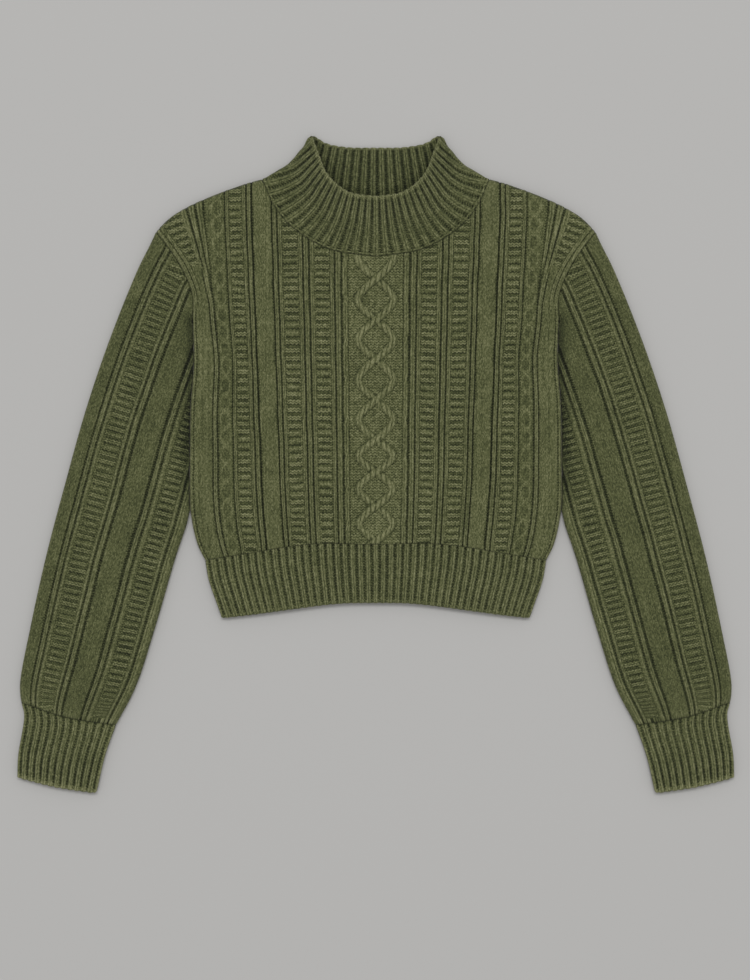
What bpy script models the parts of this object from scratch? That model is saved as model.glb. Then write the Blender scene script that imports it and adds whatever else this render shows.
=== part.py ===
"""Cropped mock-neck cable sweater, laid flat on its back with the front up.

The garment lies on the XY plane: +Y towards the neck, +Z away from the surface.
Each knitted piece is a cloth wall of its own.  Outlines are for the +X half and are
mirrored.  All tables are in millimetres.
"""
import math

import bpy
import bmesh
from mathutils import Vector

MM = 0.001

# Cloth and layers
WALL = 3.0             # knitted cloth, cable relief included
SEAM_GAP = 0.3         # between two pieces that are sewn together
CORNER_GAP = 0.25      # added on each side of a seam where it meets a folded edge
CORNER_RUN = 12.0      # length of seam over which that is added
SIDE_SEAM_Z = 4.0      # height at which front and back meet along a folded edge
LAYERS_Z = 8.0         # top of the two layers beside a fold
FOLD_RUN = 4.5         # how far in from a folded edge the cloth takes to lie flat
CROWN = 1.6            # extra loft in the middle of a layer pair
CROWN_RUN = 75.0       # distance from a fold at which the crown is full
BESIDE_GAP = 0.8       # between the body's side and the sleeve lying along it
COLLAR_LIFT = 7.0      # the front of the collar stands off the back of it
COLLAR_LIFT_RUN = 34.0     # distance from the collar's side at which it is fully up
FOLD_ANGLES = (0.0, 42.0, 90.0)    # sections of a rounded edge, in degrees

# Heights of the seams and edges on the centre line
NECK_FRONT_Y = 223.6       # neck seam at the centre front
NECK_BACK_Y = 278.0        # neck seam at the centre back
RIM_FRONT_Y = 287.5        # rim of the collar at the centre front
RIM_BACK_Y = 341.0         # rim of the collar at the centre back
HEM_SEAM_Y = -85.0         # top of the hem rib at the centre
HEM_EDGE_Y = -148.0        # cast-on edge at the centre

# Named outline points, right half: (x, y)
NECK_POINT = (122.0, 307.0)
COLLAR_PEAK = (67.5, 353.0)
SHOULDER_TIP = (236.0, 250.0)
UNDERARM = (196.5, 154.0)
CROTCH = (199.0, -49.0)    # where the sleeve parts from the body's side
HEM_SEAM_SIDE = (183.0, -102.5)
HEM_CORNER = (165.5, -164.5)
CUFF_SEAM_OUT = (380.5, -255.0)
CUFF_SEAM_IN = (279.0, -279.0)
CUFF_CORNER_OUT = (385.0, -335.5)
CUFF_CORNER_IN = (300.0, -352.5)

# Curves between those points: each row is a point that the curve passes through
COLLAR_SIDE = ((79.0, 340.0), (90.0, 327.0), (109.0, 314.0))
RIM_FRONT = ((29.0, 292.5), (51.0, 311.0), (61.0, 335.0))
RIM_BACK = ((30.0, 341.6), (54.0, 346.0))
NECK_FRONT = ((51.0, 232.0), (92.0, 257.0), (111.0, 281.5))
NECK_BACK = ((50.0, 281.5), (92.0, 293.0))
SHOULDER = ((143.0, 301.0), (177.0, 288.5), (204.0, 276.0), (224.0, 263.0))
ARMHOLE = ((224.0, 235.0), (207.0, 209.0), (196.5, 180.5))
SIDE = ((195.5, 110.0), (199.0, 62.0), (199.7, 5.0))
SIDE_BELOW = ((191.5, -85.0),)
HEM_SIDE = ((179.5, -123.0), (170.5, -150.0))
HEM_SEAM = ((71.0, -85.0), (138.0, -95.0))
HEM_EDGE = ((40.0, -149.0), (138.0, -161.5))
SLEEVE_OUT = (
    (242.0, 237.0), (255.0, 211.0), (286.0, 134.0), (312.0, 57.0),
    (333.5, -20.0), (354.0, -98.0), (371.0, -175.0), (382.0, -236.0),
)
SLEEVE_IN = ((202.5, -62.0), (214.5, -98.0), (237.0, -175.0), (258.0, -239.0))
CUFF_OUT = ((377.5, -268.0), (384.0, -312.0))
CUFF_IN = ((290.5, -312.0),)
CUFF_SEAM = ((331.0, -271.0),)
CUFF_EDGE = ((345.0, -345.5),)

# Large soft folds that the laid garment keeps, on its upper layer
FOLDS = (
    # piece      x from   y from   x to    y to   width  rise
    ("sleeve", 214.0, 150.0, 262.0, 96.0, 14.0, 1.5),
    ("sleeve", 216.0, 108.0, 268.0, 44.0, 16.0, 1.2),
    ("sleeve", 292.0, -232.0, 366.0, -214.0, 20.0, 1.8),
    ("body", 180.0, 168.0, 132.0, 128.0, 15.0, 1.0),
    ("body", 176.0, 120.0, 120.0, 96.0, 17.0, 0.8),
)

# Sections: how many cells each stretch is divided into
CURVE_STEPS = 160
NECK_CELLS = 6
SHOULDER_CELLS = 4
SIDE_ROWS = 2          # from the hem seam up to the crotch
BESIDE_ROWS = 6        # where the sleeve lies along the body
HEM_ROWS = 2
OPEN_ROWS = 3          # below the cap, where the sleeve is open towards the body
CAP_SHARE = 0.52       # share of the armhole that the sleeve's first row follows
SLEEVE_ROWS = 8        # from the crotch to the cuff seam
SLEEVE_CELLS = 4
CUFF_ROWS = 3
COLLAR_ROWS = 4

OLIVE = (0.0782, 0.0860, 0.0409, 1.0)
OLIVE_DEEP = (0.0648, 0.0719, 0.0343, 1.0)
COTTON_ROUGHNESS = 0.94


def curve(start, through, end):
    """Points along a smooth curve from start to end, evenly spaced by length."""
    knots = [Vector(start)] + [Vector(p) for p in through] + [Vector(end)]
    ghost_a = knots[0] * 2 - knots[1]
    ghost_b = knots[-1] * 2 - knots[-2]
    full = [ghost_a] + knots + [ghost_b]
    dense = []
    for i in range(1, len(full) - 2):
        dense.extend(knot_span(*full[i - 1:i + 3]))
    dense.append(knots[-1])
    return even_points(dense, [i / CURVE_STEPS for i in range(CURVE_STEPS + 1)])


def knot_span(before, a, b, after, steps=24):
    """Centripetal Catmull-Rom points from a towards b, b itself left out."""
    t1 = math.sqrt((a - before).length)
    t2 = t1 + math.sqrt((b - a).length)
    t3 = t2 + math.sqrt((after - b).length)
    points = []
    for k in range(steps):
        t = t1 + (t2 - t1) * k / steps
        p = before.lerp(a, t / t1)
        q = a.lerp(b, (t - t1) / (t2 - t1))
        r = b.lerp(after, (t - t2) / (t3 - t2))
        pq = p.lerp(q, t / t2)
        qr = q.lerp(r, (t - t1) / (t3 - t1))
        points.append(pq.lerp(qr, (t - t1) / (t2 - t1)))
    return points


def even_points(line, fractions):
    """Points of a polyline at the given fractions of its length."""
    reach = [0.0]
    for a, b in zip(line, line[1:]):
        reach.append(reach[-1] + (b - a).length)
    result = []
    i = 0
    for fraction in fractions:
        want = fraction * reach[-1]
        while i < len(line) - 2 and reach[i + 1] < want:
            i += 1
        while i > 0 and reach[i] > want:
            i -= 1
        span = reach[i + 1] - reach[i]
        result.append(line[i].lerp(line[i + 1], (want - reach[i]) / span))
    return result


def spread(cells, near_end=0.0, near_start=0.0):
    """Fractions from 0 to 1, with the sections of a rounded edge at either end.

    near_end and near_start are the shares of the whole that a rounded edge takes.
    """
    turn = [1.0 - math.cos(math.radians(a)) for a in FOLD_ANGLES]
    head = [t * near_start for t in turn] if near_start else [0.0]
    tail = [1.0 - t * near_end for t in reversed(turn)] if near_end else [1.0]
    middle = [head[-1] + (tail[0] - head[-1]) * i / cells for i in range(1, cells)]
    return head + middle + tail


def shares(points):
    """How far along its own length each point of a line lies, from 0 to 1."""
    reach = [0.0]
    for a, b in zip(points, points[1:]):
        reach.append(reach[-1] + (b - a).length)
    return [r / reach[-1] for r in reach]


def coons(bottom, top, left, right):
    """Grid of plan points filling four edges that meet at their ends, row by row."""
    across = shares(top)
    up = shares(right)
    grid = []
    for j, v in enumerate(up):
        row = []
        for i, u in enumerate(across):
            ruled = bottom[i].lerp(top[i], v) + left[j].lerp(right[j], u)
            corners = bottom[0].lerp(bottom[-1], u).lerp(top[0].lerp(top[-1], u), v)
            row.append(ruled - corners)
        grid.append(row)
    return grid


def share_at(line, point):
    """How far along a line, from 0 to 1, its corner nearest to a point lies."""
    i = min(range(len(line)), key=lambda k: (line[k] - point).length)
    return shares(line)[i]


def in_two(share, first, second):
    """Fractions from 0 to 1 with a section at share, and cells on either side of it."""
    low = [share * s for s in spread(first)]
    return low + [share + (1.0 - share) * s for s in spread(second)][1:]


def moved_ends(line, start, end):
    """The same line, eased over so that it starts and ends at two given points."""
    first = start - line[0]
    last = end - line[-1]
    return [p + first.lerp(last, s) for p, s in zip(line, shares(line))]


def right_of(line):
    """Unit vectors to the right of a line at each of its points."""
    result = []
    for i in range(len(line)):
        run = line[min(i + 1, len(line) - 1)] - line[max(i - 1, 0)]
        result.append(Vector((run.y, -run.x)).normalized())
    return result


def nearest(fold, point):
    """Distance from a plan point to a fold, and the direction towards it.

    A fold is a line, with the cloth on its left, and the vectors right of it.  A point
    a hair outside it, where a seam has been moved by its gap, counts as on it.
    """
    line, rights = fold
    best = None
    for i in range(len(line) - 1):
        run = line[i + 1] - line[i]
        t = max(0.0, min(1.0, (point - line[i]).dot(run) / run.length_squared))
        away = line[i] + run * t - point
        if best is None or away.length < best[0].length - 1e-9:
            best = (away, rights[i].lerp(rights[i + 1], t).normalized())
    away, outward = best
    outside = away.length < BESIDE_GAP and away.dot(outward) < -0.5 * away.length
    if outside or away.length < 0.01:
        return 0.0, outward
    return away.length, away.normalized()


def smooth(x):
    x = max(0.0, min(1.0, x))
    return x * x * (3.0 - 2.0 * x)


class Layers:
    """Heights of the upper and lower cloth of one flattened piece."""

    def __init__(self, folds, creases=()):
        self.folds = folds
        self.creases = creases

    def section(self, plan, upper):
        """Outer point of the cloth over a plan point, and its outward normal."""
        near = min((nearest(fold, plan) for fold in self.folds), key=lambda n: n[0])
        distance, outward = near
        cos_turn = max(0.0, 1.0 - distance / FOLD_RUN)
        sin_turn = math.sqrt(1.0 - cos_turn * cos_turn)
        if not upper:
            start = SIDE_SEAM_Z - SEAM_GAP / 2
            height = start * (1.0 - sin_turn)
            slope = Vector((cos_turn / FOLD_RUN, sin_turn / start))
            normal = Vector((outward.x * slope.x, outward.y * slope.x, -slope.y))
            return Vector((plan.x, plan.y, height)), normal.normalized()
        start = SIDE_SEAM_Z + SEAM_GAP / 2
        rise = LAYERS_Z - start
        height = start + rise * sin_turn
        height += CROWN * smooth(distance / CROWN_RUN)
        for x0, y0, x1, y1, width, bulge in self.creases:
            height += bulge * self.bump(plan, (x0, y0), (x1, y1), width)
        slope = Vector((cos_turn / FOLD_RUN, sin_turn / rise))
        normal = Vector((outward.x * slope.x, outward.y * slope.x, slope.y))
        return Vector((plan.x, plan.y, height)), normal.normalized()

    @staticmethod
    def bump(plan, start, end, width):
        """A rounded ridge from start to end that fades out at both ends."""
        start = Vector(start)
        run = Vector(end) - start
        t = (plan - start).dot(run) / run.length_squared
        if t <= 0.0 or t >= 1.0:
            return 0.0
        aside = (plan - start - run * t).length / width
        return math.sin(math.pi * t) ** 2 * math.exp(-aside * aside)


def wall_grids(layers, grid, upper):
    """Outer and inner grids of a cloth wall over a grid of plan points."""
    outer = []
    inner = []
    for row in grid:
        sections = [layers.section(point, upper) for point in row]
        outer.append([point for point, normal in sections])
        inner.append([point - normal * WALL for point, normal in sections])
    return outer, inner


def add_object(name, faces_from, colour):
    """Make a mesh object with its own cotton material from a bmesh builder."""
    mesh = bpy.data.meshes.new(name)
    bm = bmesh.new()
    faces_from(bm)
    bmesh.ops.recalc_face_normals(bm, faces=bm.faces)
    bmesh.ops.triangulate(bm, faces=bm.faces)
    bm.to_mesh(mesh)
    bm.free()
    mesh.shade_smooth()
    mesh.set_sharp_from_angle(angle=math.radians(40.0))
    material = bpy.data.materials.new(name + "_cotton")
    material.use_nodes = True
    shader = material.node_tree.nodes["Principled BSDF"]
    shader.inputs["Base Color"].default_value = colour
    shader.inputs["Roughness"].default_value = COTTON_ROUGHNESS
    shader.inputs["Metallic"].default_value = 0.0
    mesh.materials.append(material)
    piece = bpy.data.objects.new(name, mesh)
    bpy.context.scene.collection.objects.link(piece)
    return piece


def skin(bm, grid):
    """Add a grid of points and the faces between them; returns the vertices."""
    verts = [[bm.verts.new(point * MM) for point in row] for row in grid]
    for low, high in zip(verts, verts[1:]):
        strip(bm, low, high)
    return verts


def strip(bm, one, two):
    """Faces between two lines of vertices."""
    for a, b, c, d in zip(one, one[1:], two[1:], two):
        bm.faces.new((a, b, c, d))


def column(grid, i):
    return [row[i] for row in grid]


def add_panel(name, outer, inner, colour=OLIVE):
    """A piece of cloth with four edges."""
    def build(bm):
        out = skin(bm, outer)
        back = skin(bm, inner)
        strip(bm, out[0], back[0])
        strip(bm, out[-1], back[-1])
        strip(bm, column(out, 0), column(back, 0))
        strip(bm, column(out, -1), column(back, -1))
    return add_object(name, build, colour)


def add_tube(name, upper, lower, open_rows=0, colour=OLIVE):
    """A flattened tube of cloth, open at both ends, from its two layers' grids.

    Its first rows may be open along the first column, as under a sleeve's cap.
    """
    def build(bm):
        layers = [[skin(bm, grid) for grid in layer] for layer in (upper, lower)]
        for out, back in layers:
            strip(bm, out[0], back[0])
            strip(bm, out[-1], back[-1])
            strip(bm, column(out, 0)[:open_rows + 1], column(back, 0)[:open_rows + 1])
        (upper_out, upper_in), (lower_out, lower_in) = layers
        for i, first in ((0, open_rows), (-1, 0)):
            corners = [column(g, i)[first:] for g in (upper_out, lower_out, lower_in, upper_in)]
            strip(bm, corners[0], corners[1])
            strip(bm, corners[3], corners[2])
            bm.faces.new([c[0] for c in corners])
            bm.faces.new([c[-1] for c in corners])
    return add_object(name, build, colour)


def pulled_in(line, inward, corner=-1):
    """A seam line moved to its right by half a gap, so that two pieces stay clear.

    The gap widens towards the corner, an end of the line where the seam meets a
    folded edge, because the two walls turn under each other there.
    """
    moved = []
    for point, right in zip(line, right_of(line)):
        at_corner = smooth(1.0 - (point - line[corner]).length / CORNER_RUN)
        moved.append(point + right * (SEAM_GAP / 2 + CORNER_GAP * at_corner) * inward)
    return moved


# ---- seam lines and edges that the pieces share --------------------------------
collar_side = curve(NECK_POINT, reversed(COLLAR_SIDE), COLLAR_PEAK)
rim_front = curve((0.0, RIM_FRONT_Y), RIM_FRONT, COLLAR_PEAK)
rim_back = curve((0.0, RIM_BACK_Y), RIM_BACK, COLLAR_PEAK)
neck_front = curve((0.0, NECK_FRONT_Y), NECK_FRONT, NECK_POINT)
neck_back = curve((0.0, NECK_BACK_Y), NECK_BACK, NECK_POINT)
shoulder = curve(NECK_POINT, SHOULDER, SHOULDER_TIP)
armhole = curve(SHOULDER_TIP, ARMHOLE, UNDERARM)
side = curve(HEM_SEAM_SIDE, SIDE_BELOW + (CROTCH,) + tuple(reversed(SIDE)), UNDERARM)
side_share = share_at(side, Vector(CROTCH))
hem_side = curve(HEM_CORNER, reversed(HEM_SIDE), HEM_SEAM_SIDE)
hem_seam = curve((0.0, HEM_SEAM_Y), HEM_SEAM, HEM_SEAM_SIDE)
hem_edge = curve((0.0, HEM_EDGE_Y), HEM_EDGE, HEM_CORNER)
sleeve_out = curve(SHOULDER_TIP, SLEEVE_OUT, CUFF_SEAM_OUT)
beside = [p + right * BESIDE_GAP for p, right in zip(side, right_of(side)) if p.y >= CROTCH[1]]
beside.reverse()
sleeve_in = beside + curve(beside[-1], SLEEVE_IN, CUFF_SEAM_IN)[1:]
cuff_seam = curve(CUFF_SEAM_OUT, CUFF_SEAM, CUFF_SEAM_IN)
cuff_out = curve(CUFF_SEAM_OUT, CUFF_OUT, CUFF_CORNER_OUT)
cuff_in = curve(CUFF_SEAM_IN, CUFF_IN, CUFF_CORNER_IN)
cuff_edge = curve(CUFF_CORNER_OUT, CUFF_EDGE, CUFF_CORNER_IN)

# Folded edges, each running so that the cloth is on its left
outer_line = list(reversed(shoulder + sleeve_out[1:] + cuff_out[1:]))
outer_fold, inner_fold, body_fold, collar_fold = (
    (line, right_of(line))
    for line in (outer_line, sleeve_in + cuff_in[1:], hem_side + side[1:], collar_side)
)
ALL_FOLDS = {
    "body": (outer_fold, body_fold, collar_fold),
    "sleeve": (outer_fold, inner_fold),
    "collar": (collar_fold, outer_fold),
}

# Sections that neighbours share, so that both sides of a seam have the same corners
neck_sections = spread(NECK_CELLS, near_end=FOLD_RUN / 150.0)
shoulder_sections = spread(SHOULDER_CELLS, near_end=FOLD_RUN / 128.0)
cap_sections = spread(SLEEVE_CELLS, near_start=0.045, near_end=0.06)
open_sections = spread(OPEN_ROWS)


def armhole_points(line):
    """Armhole corners from the underarm to the shoulder tip."""
    upward = list(reversed(line))
    low = even_points(upward, [s * (1.0 - CAP_SHARE) for s in open_sections])
    high = even_points(upward, [1.0 - CAP_SHARE * (1.0 - s) for s in cap_sections])
    return low + high[1:]


def body_half(neck_line):
    """Plan grid of one half of the front or back panel, and its hem corners."""
    hem_line = pulled_in(hem_seam, -1)
    arm = armhole_points(pulled_in(armhole, 1, corner=0))
    neck = even_points(pulled_in(neck_line, 1), neck_sections)
    edge = moved_ends(side, hem_line[-1], arm[0])
    across_top = moved_ends(shoulder, neck[-1], arm[-1])
    top = neck + even_points(across_top, shoulder_sections)[1:]
    right = even_points(edge, in_two(side_share, SIDE_ROWS, BESIDE_ROWS)) + arm[1:]
    bottom = even_points(hem_line, shares(top))
    left = even_points([bottom[0], top[0]], shares(right))
    return coons(bottom, top, left, right)


def hem_half(columns):
    """Plan grid of one half of a hem rib, with the panel's columns."""
    seam = pulled_in(hem_seam, 1)
    edge = moved_ends(hem_side, hem_edge[-1], seam[-1])
    top = even_points(seam, columns)
    bottom = even_points(hem_edge, columns)
    rows = spread(HEM_ROWS)
    left = even_points([bottom[0], top[0]], rows)
    return coons(bottom, top, left, even_points(edge, rows))


def collar_half(neck_line, rim):
    """Plan grid of one half of the collar's front or back, from its seam to its rim."""
    bottom = even_points(pulled_in(neck_line, -1), neck_sections)
    top = even_points(rim, neck_sections)
    rows = spread(COLLAR_ROWS)
    edge = moved_ends(collar_side, bottom[-1], top[-1])
    left = even_points([bottom[0], top[0]], rows)
    return coons(bottom, top, left, even_points(edge, rows))


def sleeve_plan():
    """Plan grid of a sleeve, from its cap to its cuff seam, inner edge to outer."""
    arm = armhole_points(pulled_in(armhole, -1, corner=0))
    cap = arm[OPEN_ROWS:]
    below_cap = list(reversed(arm[:OPEN_ROWS + 1]))
    seam = list(reversed(pulled_in(cuff_seam, 1, corner=0)))
    inner = moved_ends(sleeve_in, below_cap[-1], seam[0])
    rows = in_two(share_at(inner, beside[-1]), BESIDE_ROWS, SLEEVE_ROWS)
    left = below_cap + even_points(inner, rows)[1:]
    outer = moved_ends(sleeve_out, cap[-1], seam[-1])
    right = even_points(outer, shares(left))
    return coons(cap, even_points(seam, cap_sections), left, right)


def cuff_plan():
    """Plan grid of a cuff, from its seam to its cast-on edge, inner edge to outer."""
    seam = list(reversed(pulled_in(cuff_seam, -1, corner=0)))
    edge = list(reversed(cuff_edge))
    rows = spread(CUFF_ROWS)
    left = even_points(moved_ends(cuff_in, seam[0], edge[0]), rows)
    right = even_points(moved_ends(cuff_out, seam[-1], edge[-1]), rows)
    return coons(even_points(seam, cap_sections), even_points(edge, cap_sections), left, right)


def raised_rim(grids, plan):
    """The collar's front, standing off its back more and more towards the rim."""
    raised = []
    for grid in grids:
        rows = []
        for j, row in enumerate(grid):
            up_band = smooth(j / (len(grid) - 1))
            clear = [nearest(collar_fold, p)[0] - FOLD_RUN for p in plan[j]]
            rise = [COLLAR_LIFT * up_band * smooth(c / COLLAR_LIFT_RUN) for c in clear]
            rows.append([p + Vector((0.0, 0.0, r)) for p, r in zip(row, rise)])
        raised.append(rows)
    return raised


def creases_on(piece):
    return [row[1:] for row in FOLDS if row[0] == piece]


def both_halves(grids):
    """Half grids that start on the centre line, made whole across X."""
    return [
        [[Vector((-p.x, p.y, p.z)) for p in reversed(row[1:])] + row for row in grid]
        for grid in grids
    ]


def on_left(grids):
    """The same piece on the other side of the body."""
    return [[[Vector((-p.x, p.y, p.z)) for p in row] for row in grid] for grid in grids]


def build_body():
    plan = body_half(neck_front)
    columns = shares(plan[-1])
    layers = Layers(ALL_FOLDS["body"], creases_on("body"))
    front = both_halves(wall_grids(layers, plan, upper=True))
    add_panel("front_panel", *front)
    back = both_halves(wall_grids(layers, body_half(neck_back), upper=False))
    add_panel("back_panel", *back)
    for name, upper in (("hem_rib_front", True), ("hem_rib_back", False)):
        rib = both_halves(wall_grids(layers, hem_half(columns), upper))
        add_panel(name, *rib, colour=OLIVE_DEEP)


def build_collar():
    layers = Layers(ALL_FOLDS["collar"])
    plan = collar_half(neck_front, rim_front)
    front = raised_rim(wall_grids(layers, plan, upper=True), plan)
    back = wall_grids(layers, collar_half(neck_back, rim_back), upper=False)
    add_tube("collar", both_halves(front), both_halves(back), colour=OLIVE_DEEP)


def build_sleeves():
    layers = Layers(ALL_FOLDS["sleeve"], creases_on("sleeve"))
    for kind, plan, rows, colour in (
        ("sleeve", sleeve_plan(), OPEN_ROWS, OLIVE),
        ("cuff", cuff_plan(), 0, OLIVE_DEEP),
    ):
        upper = wall_grids(layers, plan, upper=True)
        lower = wall_grids(layers, plan, upper=False)
        add_tube(kind + "_right", upper, lower, rows, colour)
        add_tube(kind + "_left", on_left(upper), on_left(lower), rows, colour)


def main():
    for old in list(bpy.data.objects):
        bpy.data.objects.remove(old, do_unlink=True)
    build_body()
    build_collar()
    build_sleeves()


main()
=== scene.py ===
"""Cropped mock-neck cable sweater in washed olive cotton, laid flat with its front up.

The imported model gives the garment's place and size.  Each knitted piece is a closed
cloth shell on the form of its solid: wales and courses are set out from charts in
millimetres, and the ribs, ladders and cables are raised on them.  +Y runs towards the
neck and +Z away from the surface that the garment lies on.
"""

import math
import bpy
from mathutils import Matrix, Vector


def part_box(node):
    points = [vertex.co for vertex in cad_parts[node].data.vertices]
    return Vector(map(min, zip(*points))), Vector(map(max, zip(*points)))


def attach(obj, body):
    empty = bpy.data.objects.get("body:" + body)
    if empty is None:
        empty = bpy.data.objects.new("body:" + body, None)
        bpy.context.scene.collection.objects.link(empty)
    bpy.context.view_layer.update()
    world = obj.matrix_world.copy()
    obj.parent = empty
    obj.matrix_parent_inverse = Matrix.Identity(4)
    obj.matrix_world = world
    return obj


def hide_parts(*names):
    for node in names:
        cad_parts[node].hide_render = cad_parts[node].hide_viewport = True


bl_info = {
    "name": "Cable Knit Sweater",
    "version": (1, 0, 0),
    "blender": (4, 5, 0),
    "location": "View3D > Sidebar > Sweater",
    "description": "Knits a cropped cable sweater and lays it flat",
    "category": "Add Mesh",
}

import bmesh
import bpy
import numpy as np

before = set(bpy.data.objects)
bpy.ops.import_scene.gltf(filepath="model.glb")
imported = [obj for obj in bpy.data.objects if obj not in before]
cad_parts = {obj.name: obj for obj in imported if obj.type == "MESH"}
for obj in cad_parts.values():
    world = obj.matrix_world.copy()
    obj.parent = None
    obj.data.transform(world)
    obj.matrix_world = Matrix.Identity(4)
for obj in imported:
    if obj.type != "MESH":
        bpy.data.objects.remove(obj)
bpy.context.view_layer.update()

MM = 0.001
BODY = "root"
PLACE_SLACK = 0.004    # how far, in metres, a piece may end from its solid's end

# ---- the garment as it lies, in millimetres ------------------------------------
SIDE_SEAM_Z = 4.0      # height at which front and back meet along a folded edge
LAYERS_Z = 8.0         # top of the two layers beside a fold
FOLD_RUN = 4.5         # how far in from a folded edge the cloth takes to lie flat
CROWN = 1.6            # extra loft in the middle
CROWN_RUN = 75.0       # distance from a fold at which the crown is full
BESIDE_GAP = 0.12      # between the body's side and the sleeve lying along it
COLLAR_LIFT = 7.0      # the front of the collar stands off the back
COLLAR_LIFT_RUN = 34.0     # distance from its side at which it is fully up
HALF_GAP = 0.15        # each piece stops this far short of its seam line
CAP_SHARE = 0.52       # share of the armhole that the sleeve's first course follows

NECK_POINT = (122.0, 307.0)
COLLAR_PEAK = (67.5, 353.0)
SHOULDER_TIP = (236.0, 250.0)
UNDERARM = (196.5, 154.0)
CROTCH = (199.0, -49.0)
HEM_SEAM_SIDE = (183.0, -102.5)
HEM_CORNER = (165.5, -164.5)
CUFF_SEAM_OUT = (380.5, -255.0)
CUFF_SEAM_IN = (279.0, -279.0)
CUFF_CORNER_OUT = (385.0, -335.5)
CUFF_CORNER_IN = (300.0, -352.5)

# Points that each seam or edge passes through, right half: (x, y)
OUTLINES = {
    "collar_side": (NECK_POINT, (109.0, 314.0), (90.0, 327.0), (79.0, 340.0), COLLAR_PEAK),
    "rim_front": ((0.0, 287.5), (29.0, 292.5), (51.0, 311.0), (61.0, 335.0), COLLAR_PEAK),
    "rim_back": ((0.0, 341.0), (30.0, 341.6), (54.0, 346.0), COLLAR_PEAK),
    "neck_front": ((0.0, 223.6), (51.0, 232.0), (92.0, 257.0), (111.0, 281.5), NECK_POINT),
    "neck_back": ((0.0, 278.0), (50.0, 281.5), (92.0, 293.0), NECK_POINT),
    "shoulder": (
        NECK_POINT, (143.0, 301.0), (177.0, 288.5), (204.0, 276.0), (224.0, 263.0),
        SHOULDER_TIP,
    ),
    "armhole": (SHOULDER_TIP, (224.0, 235.0), (207.0, 209.0), (196.5, 180.5), UNDERARM),
    "side": (
        HEM_SEAM_SIDE, (191.5, -85.0), CROTCH, (199.7, 5.0), (199.0, 62.0), (195.5, 110.0),
        UNDERARM,
    ),
    "hem_side": (HEM_CORNER, (170.5, -150.0), (179.5, -123.0), HEM_SEAM_SIDE),
    "hem_seam": ((0.0, -85.0), (71.0, -85.0), (138.0, -95.0), HEM_SEAM_SIDE),
    "hem_edge": ((0.0, -148.0), (40.0, -149.0), (138.0, -161.5), HEM_CORNER),
    "sleeve_out": (
        SHOULDER_TIP, (242.0, 237.0), (255.0, 211.0), (286.0, 134.0), (312.0, 57.0),
        (333.5, -20.0), (354.0, -98.0), (371.0, -175.0), (382.0, -236.0), CUFF_SEAM_OUT,
    ),
    "sleeve_in": (
        (199.8, -49.0), (202.5, -62.0), (214.5, -98.0), (237.0, -175.0), (258.0, -239.0),
        CUFF_SEAM_IN,
    ),
    "cuff_seam": (CUFF_SEAM_OUT, (331.0, -271.0), CUFF_SEAM_IN),
    "cuff_out": (CUFF_SEAM_OUT, (377.5, -268.0), (384.0, -312.0), CUFF_CORNER_OUT),
    "cuff_in": (CUFF_SEAM_IN, (290.5, -312.0), CUFF_CORNER_IN),
    "cuff_edge": (CUFF_CORNER_OUT, (345.0, -345.5), CUFF_CORNER_IN),
}

# Soft folds and hollows of the upper layer
CREASES = {
    # x from   y from   x to    y to   width  rise
    "sleeve": (
        (214.0, 150.0, 262.0, 96.0, 14.0, 1.5),
        (216.0, 108.0, 268.0, 44.0, 16.0, 1.2),
        (292.0, -232.0, 366.0, -214.0, 20.0, 1.8),
    ),
    "body": (
        (180.0, 168.0, 132.0, 128.0, 15.0, 1.0),
        (176.0, 120.0, 120.0, 96.0, 17.0, 0.8),
    ),
    "none": (),
}

# Small pinches across the plain panels, as the cloth was folded: both halves, signed x
PUCKERS = (
    # x from   y from   x to    y to   width rise
    (-127.0, 151.0, -107.0, 153.0, 2.0, 0.55),
    (-126.0, 119.0, -109.0, 118.0, 2.4, -0.35),
    (-126.0, 60.0, -108.0, 62.0, 2.2, 0.4),
    (-125.0, -8.0, -106.0, -6.0, 2.4, -0.3),
    (107.0, 131.0, 127.0, 130.0, 2.0, 0.4),
    (108.0, 79.0, 127.0, 80.0, 2.2, 0.55),
    (108.0, 22.0, 125.0, 20.0, 2.4, -0.35),
    (106.0, -38.0, 122.0, -37.0, 2.2, 0.35),
)

# ---- knitting charts -------------------------------------------------------------
# Half of the body, from the centre outwards; widths in mm at chest height.
BODY_CHART = (
    # stitch    width depth
    ("diamond", 28.3, 1.0),
    ("dip", 1.6, 1.1),
    ("wavy", 4.8, 1.05),
    ("groove", 2.6, 0.75),
    ("pair", 4.7, 1.0),
    ("groove", 2.0, 0.8),
    ("pair", 3.5, 1.0),
    ("dip", 0.8, 0.9),
    ("ladder", 15.6, 1.0),
    ("dip", 0.8, 0.5),
    ("pair", 3.7, 0.9),
    ("groove", 2.2, 0.9),
    ("pair", 4.2, 1.1),
    ("groove", 2.0, 0.9),
    ("pair", 3.4, 0.9),
    ("dip", 0.7, 0.7),
    ("ladder", 15.9, 1.0),
    ("dip", 0.8, 0.8),
    ("pair", 3.1, 0.9),
    ("groove", 2.1, 0.8),
    ("pair", 3.4, 1.0),
    ("groove", 2.0, 1.0),
    ("plain", 18.1, 1.0),
    ("groove", 2.5, 1.15),
    ("pair", 3.3, 1.0),
    ("groove", 1.9, 0.8),
    ("pair", 3.0, 0.9),
    ("dip", 0.7, 0.9),
    ("ladder", 13.0, 1.0),
    ("dip", 0.7, 0.8),
    ("pair", 2.8, 0.9),
    ("groove", 2.0, 0.7),
    ("ovals", 13.4, 1.0),
    ("groove", 2.2, 0.6),
    ("pair", 3.2, 0.8),
    ("groove", 1.8, 0.5),
    ("edge", 17.9, 1.0),
    ("groove", 1.5, 0.45),
    ("pair", 3.3, 0.7),
)
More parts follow.
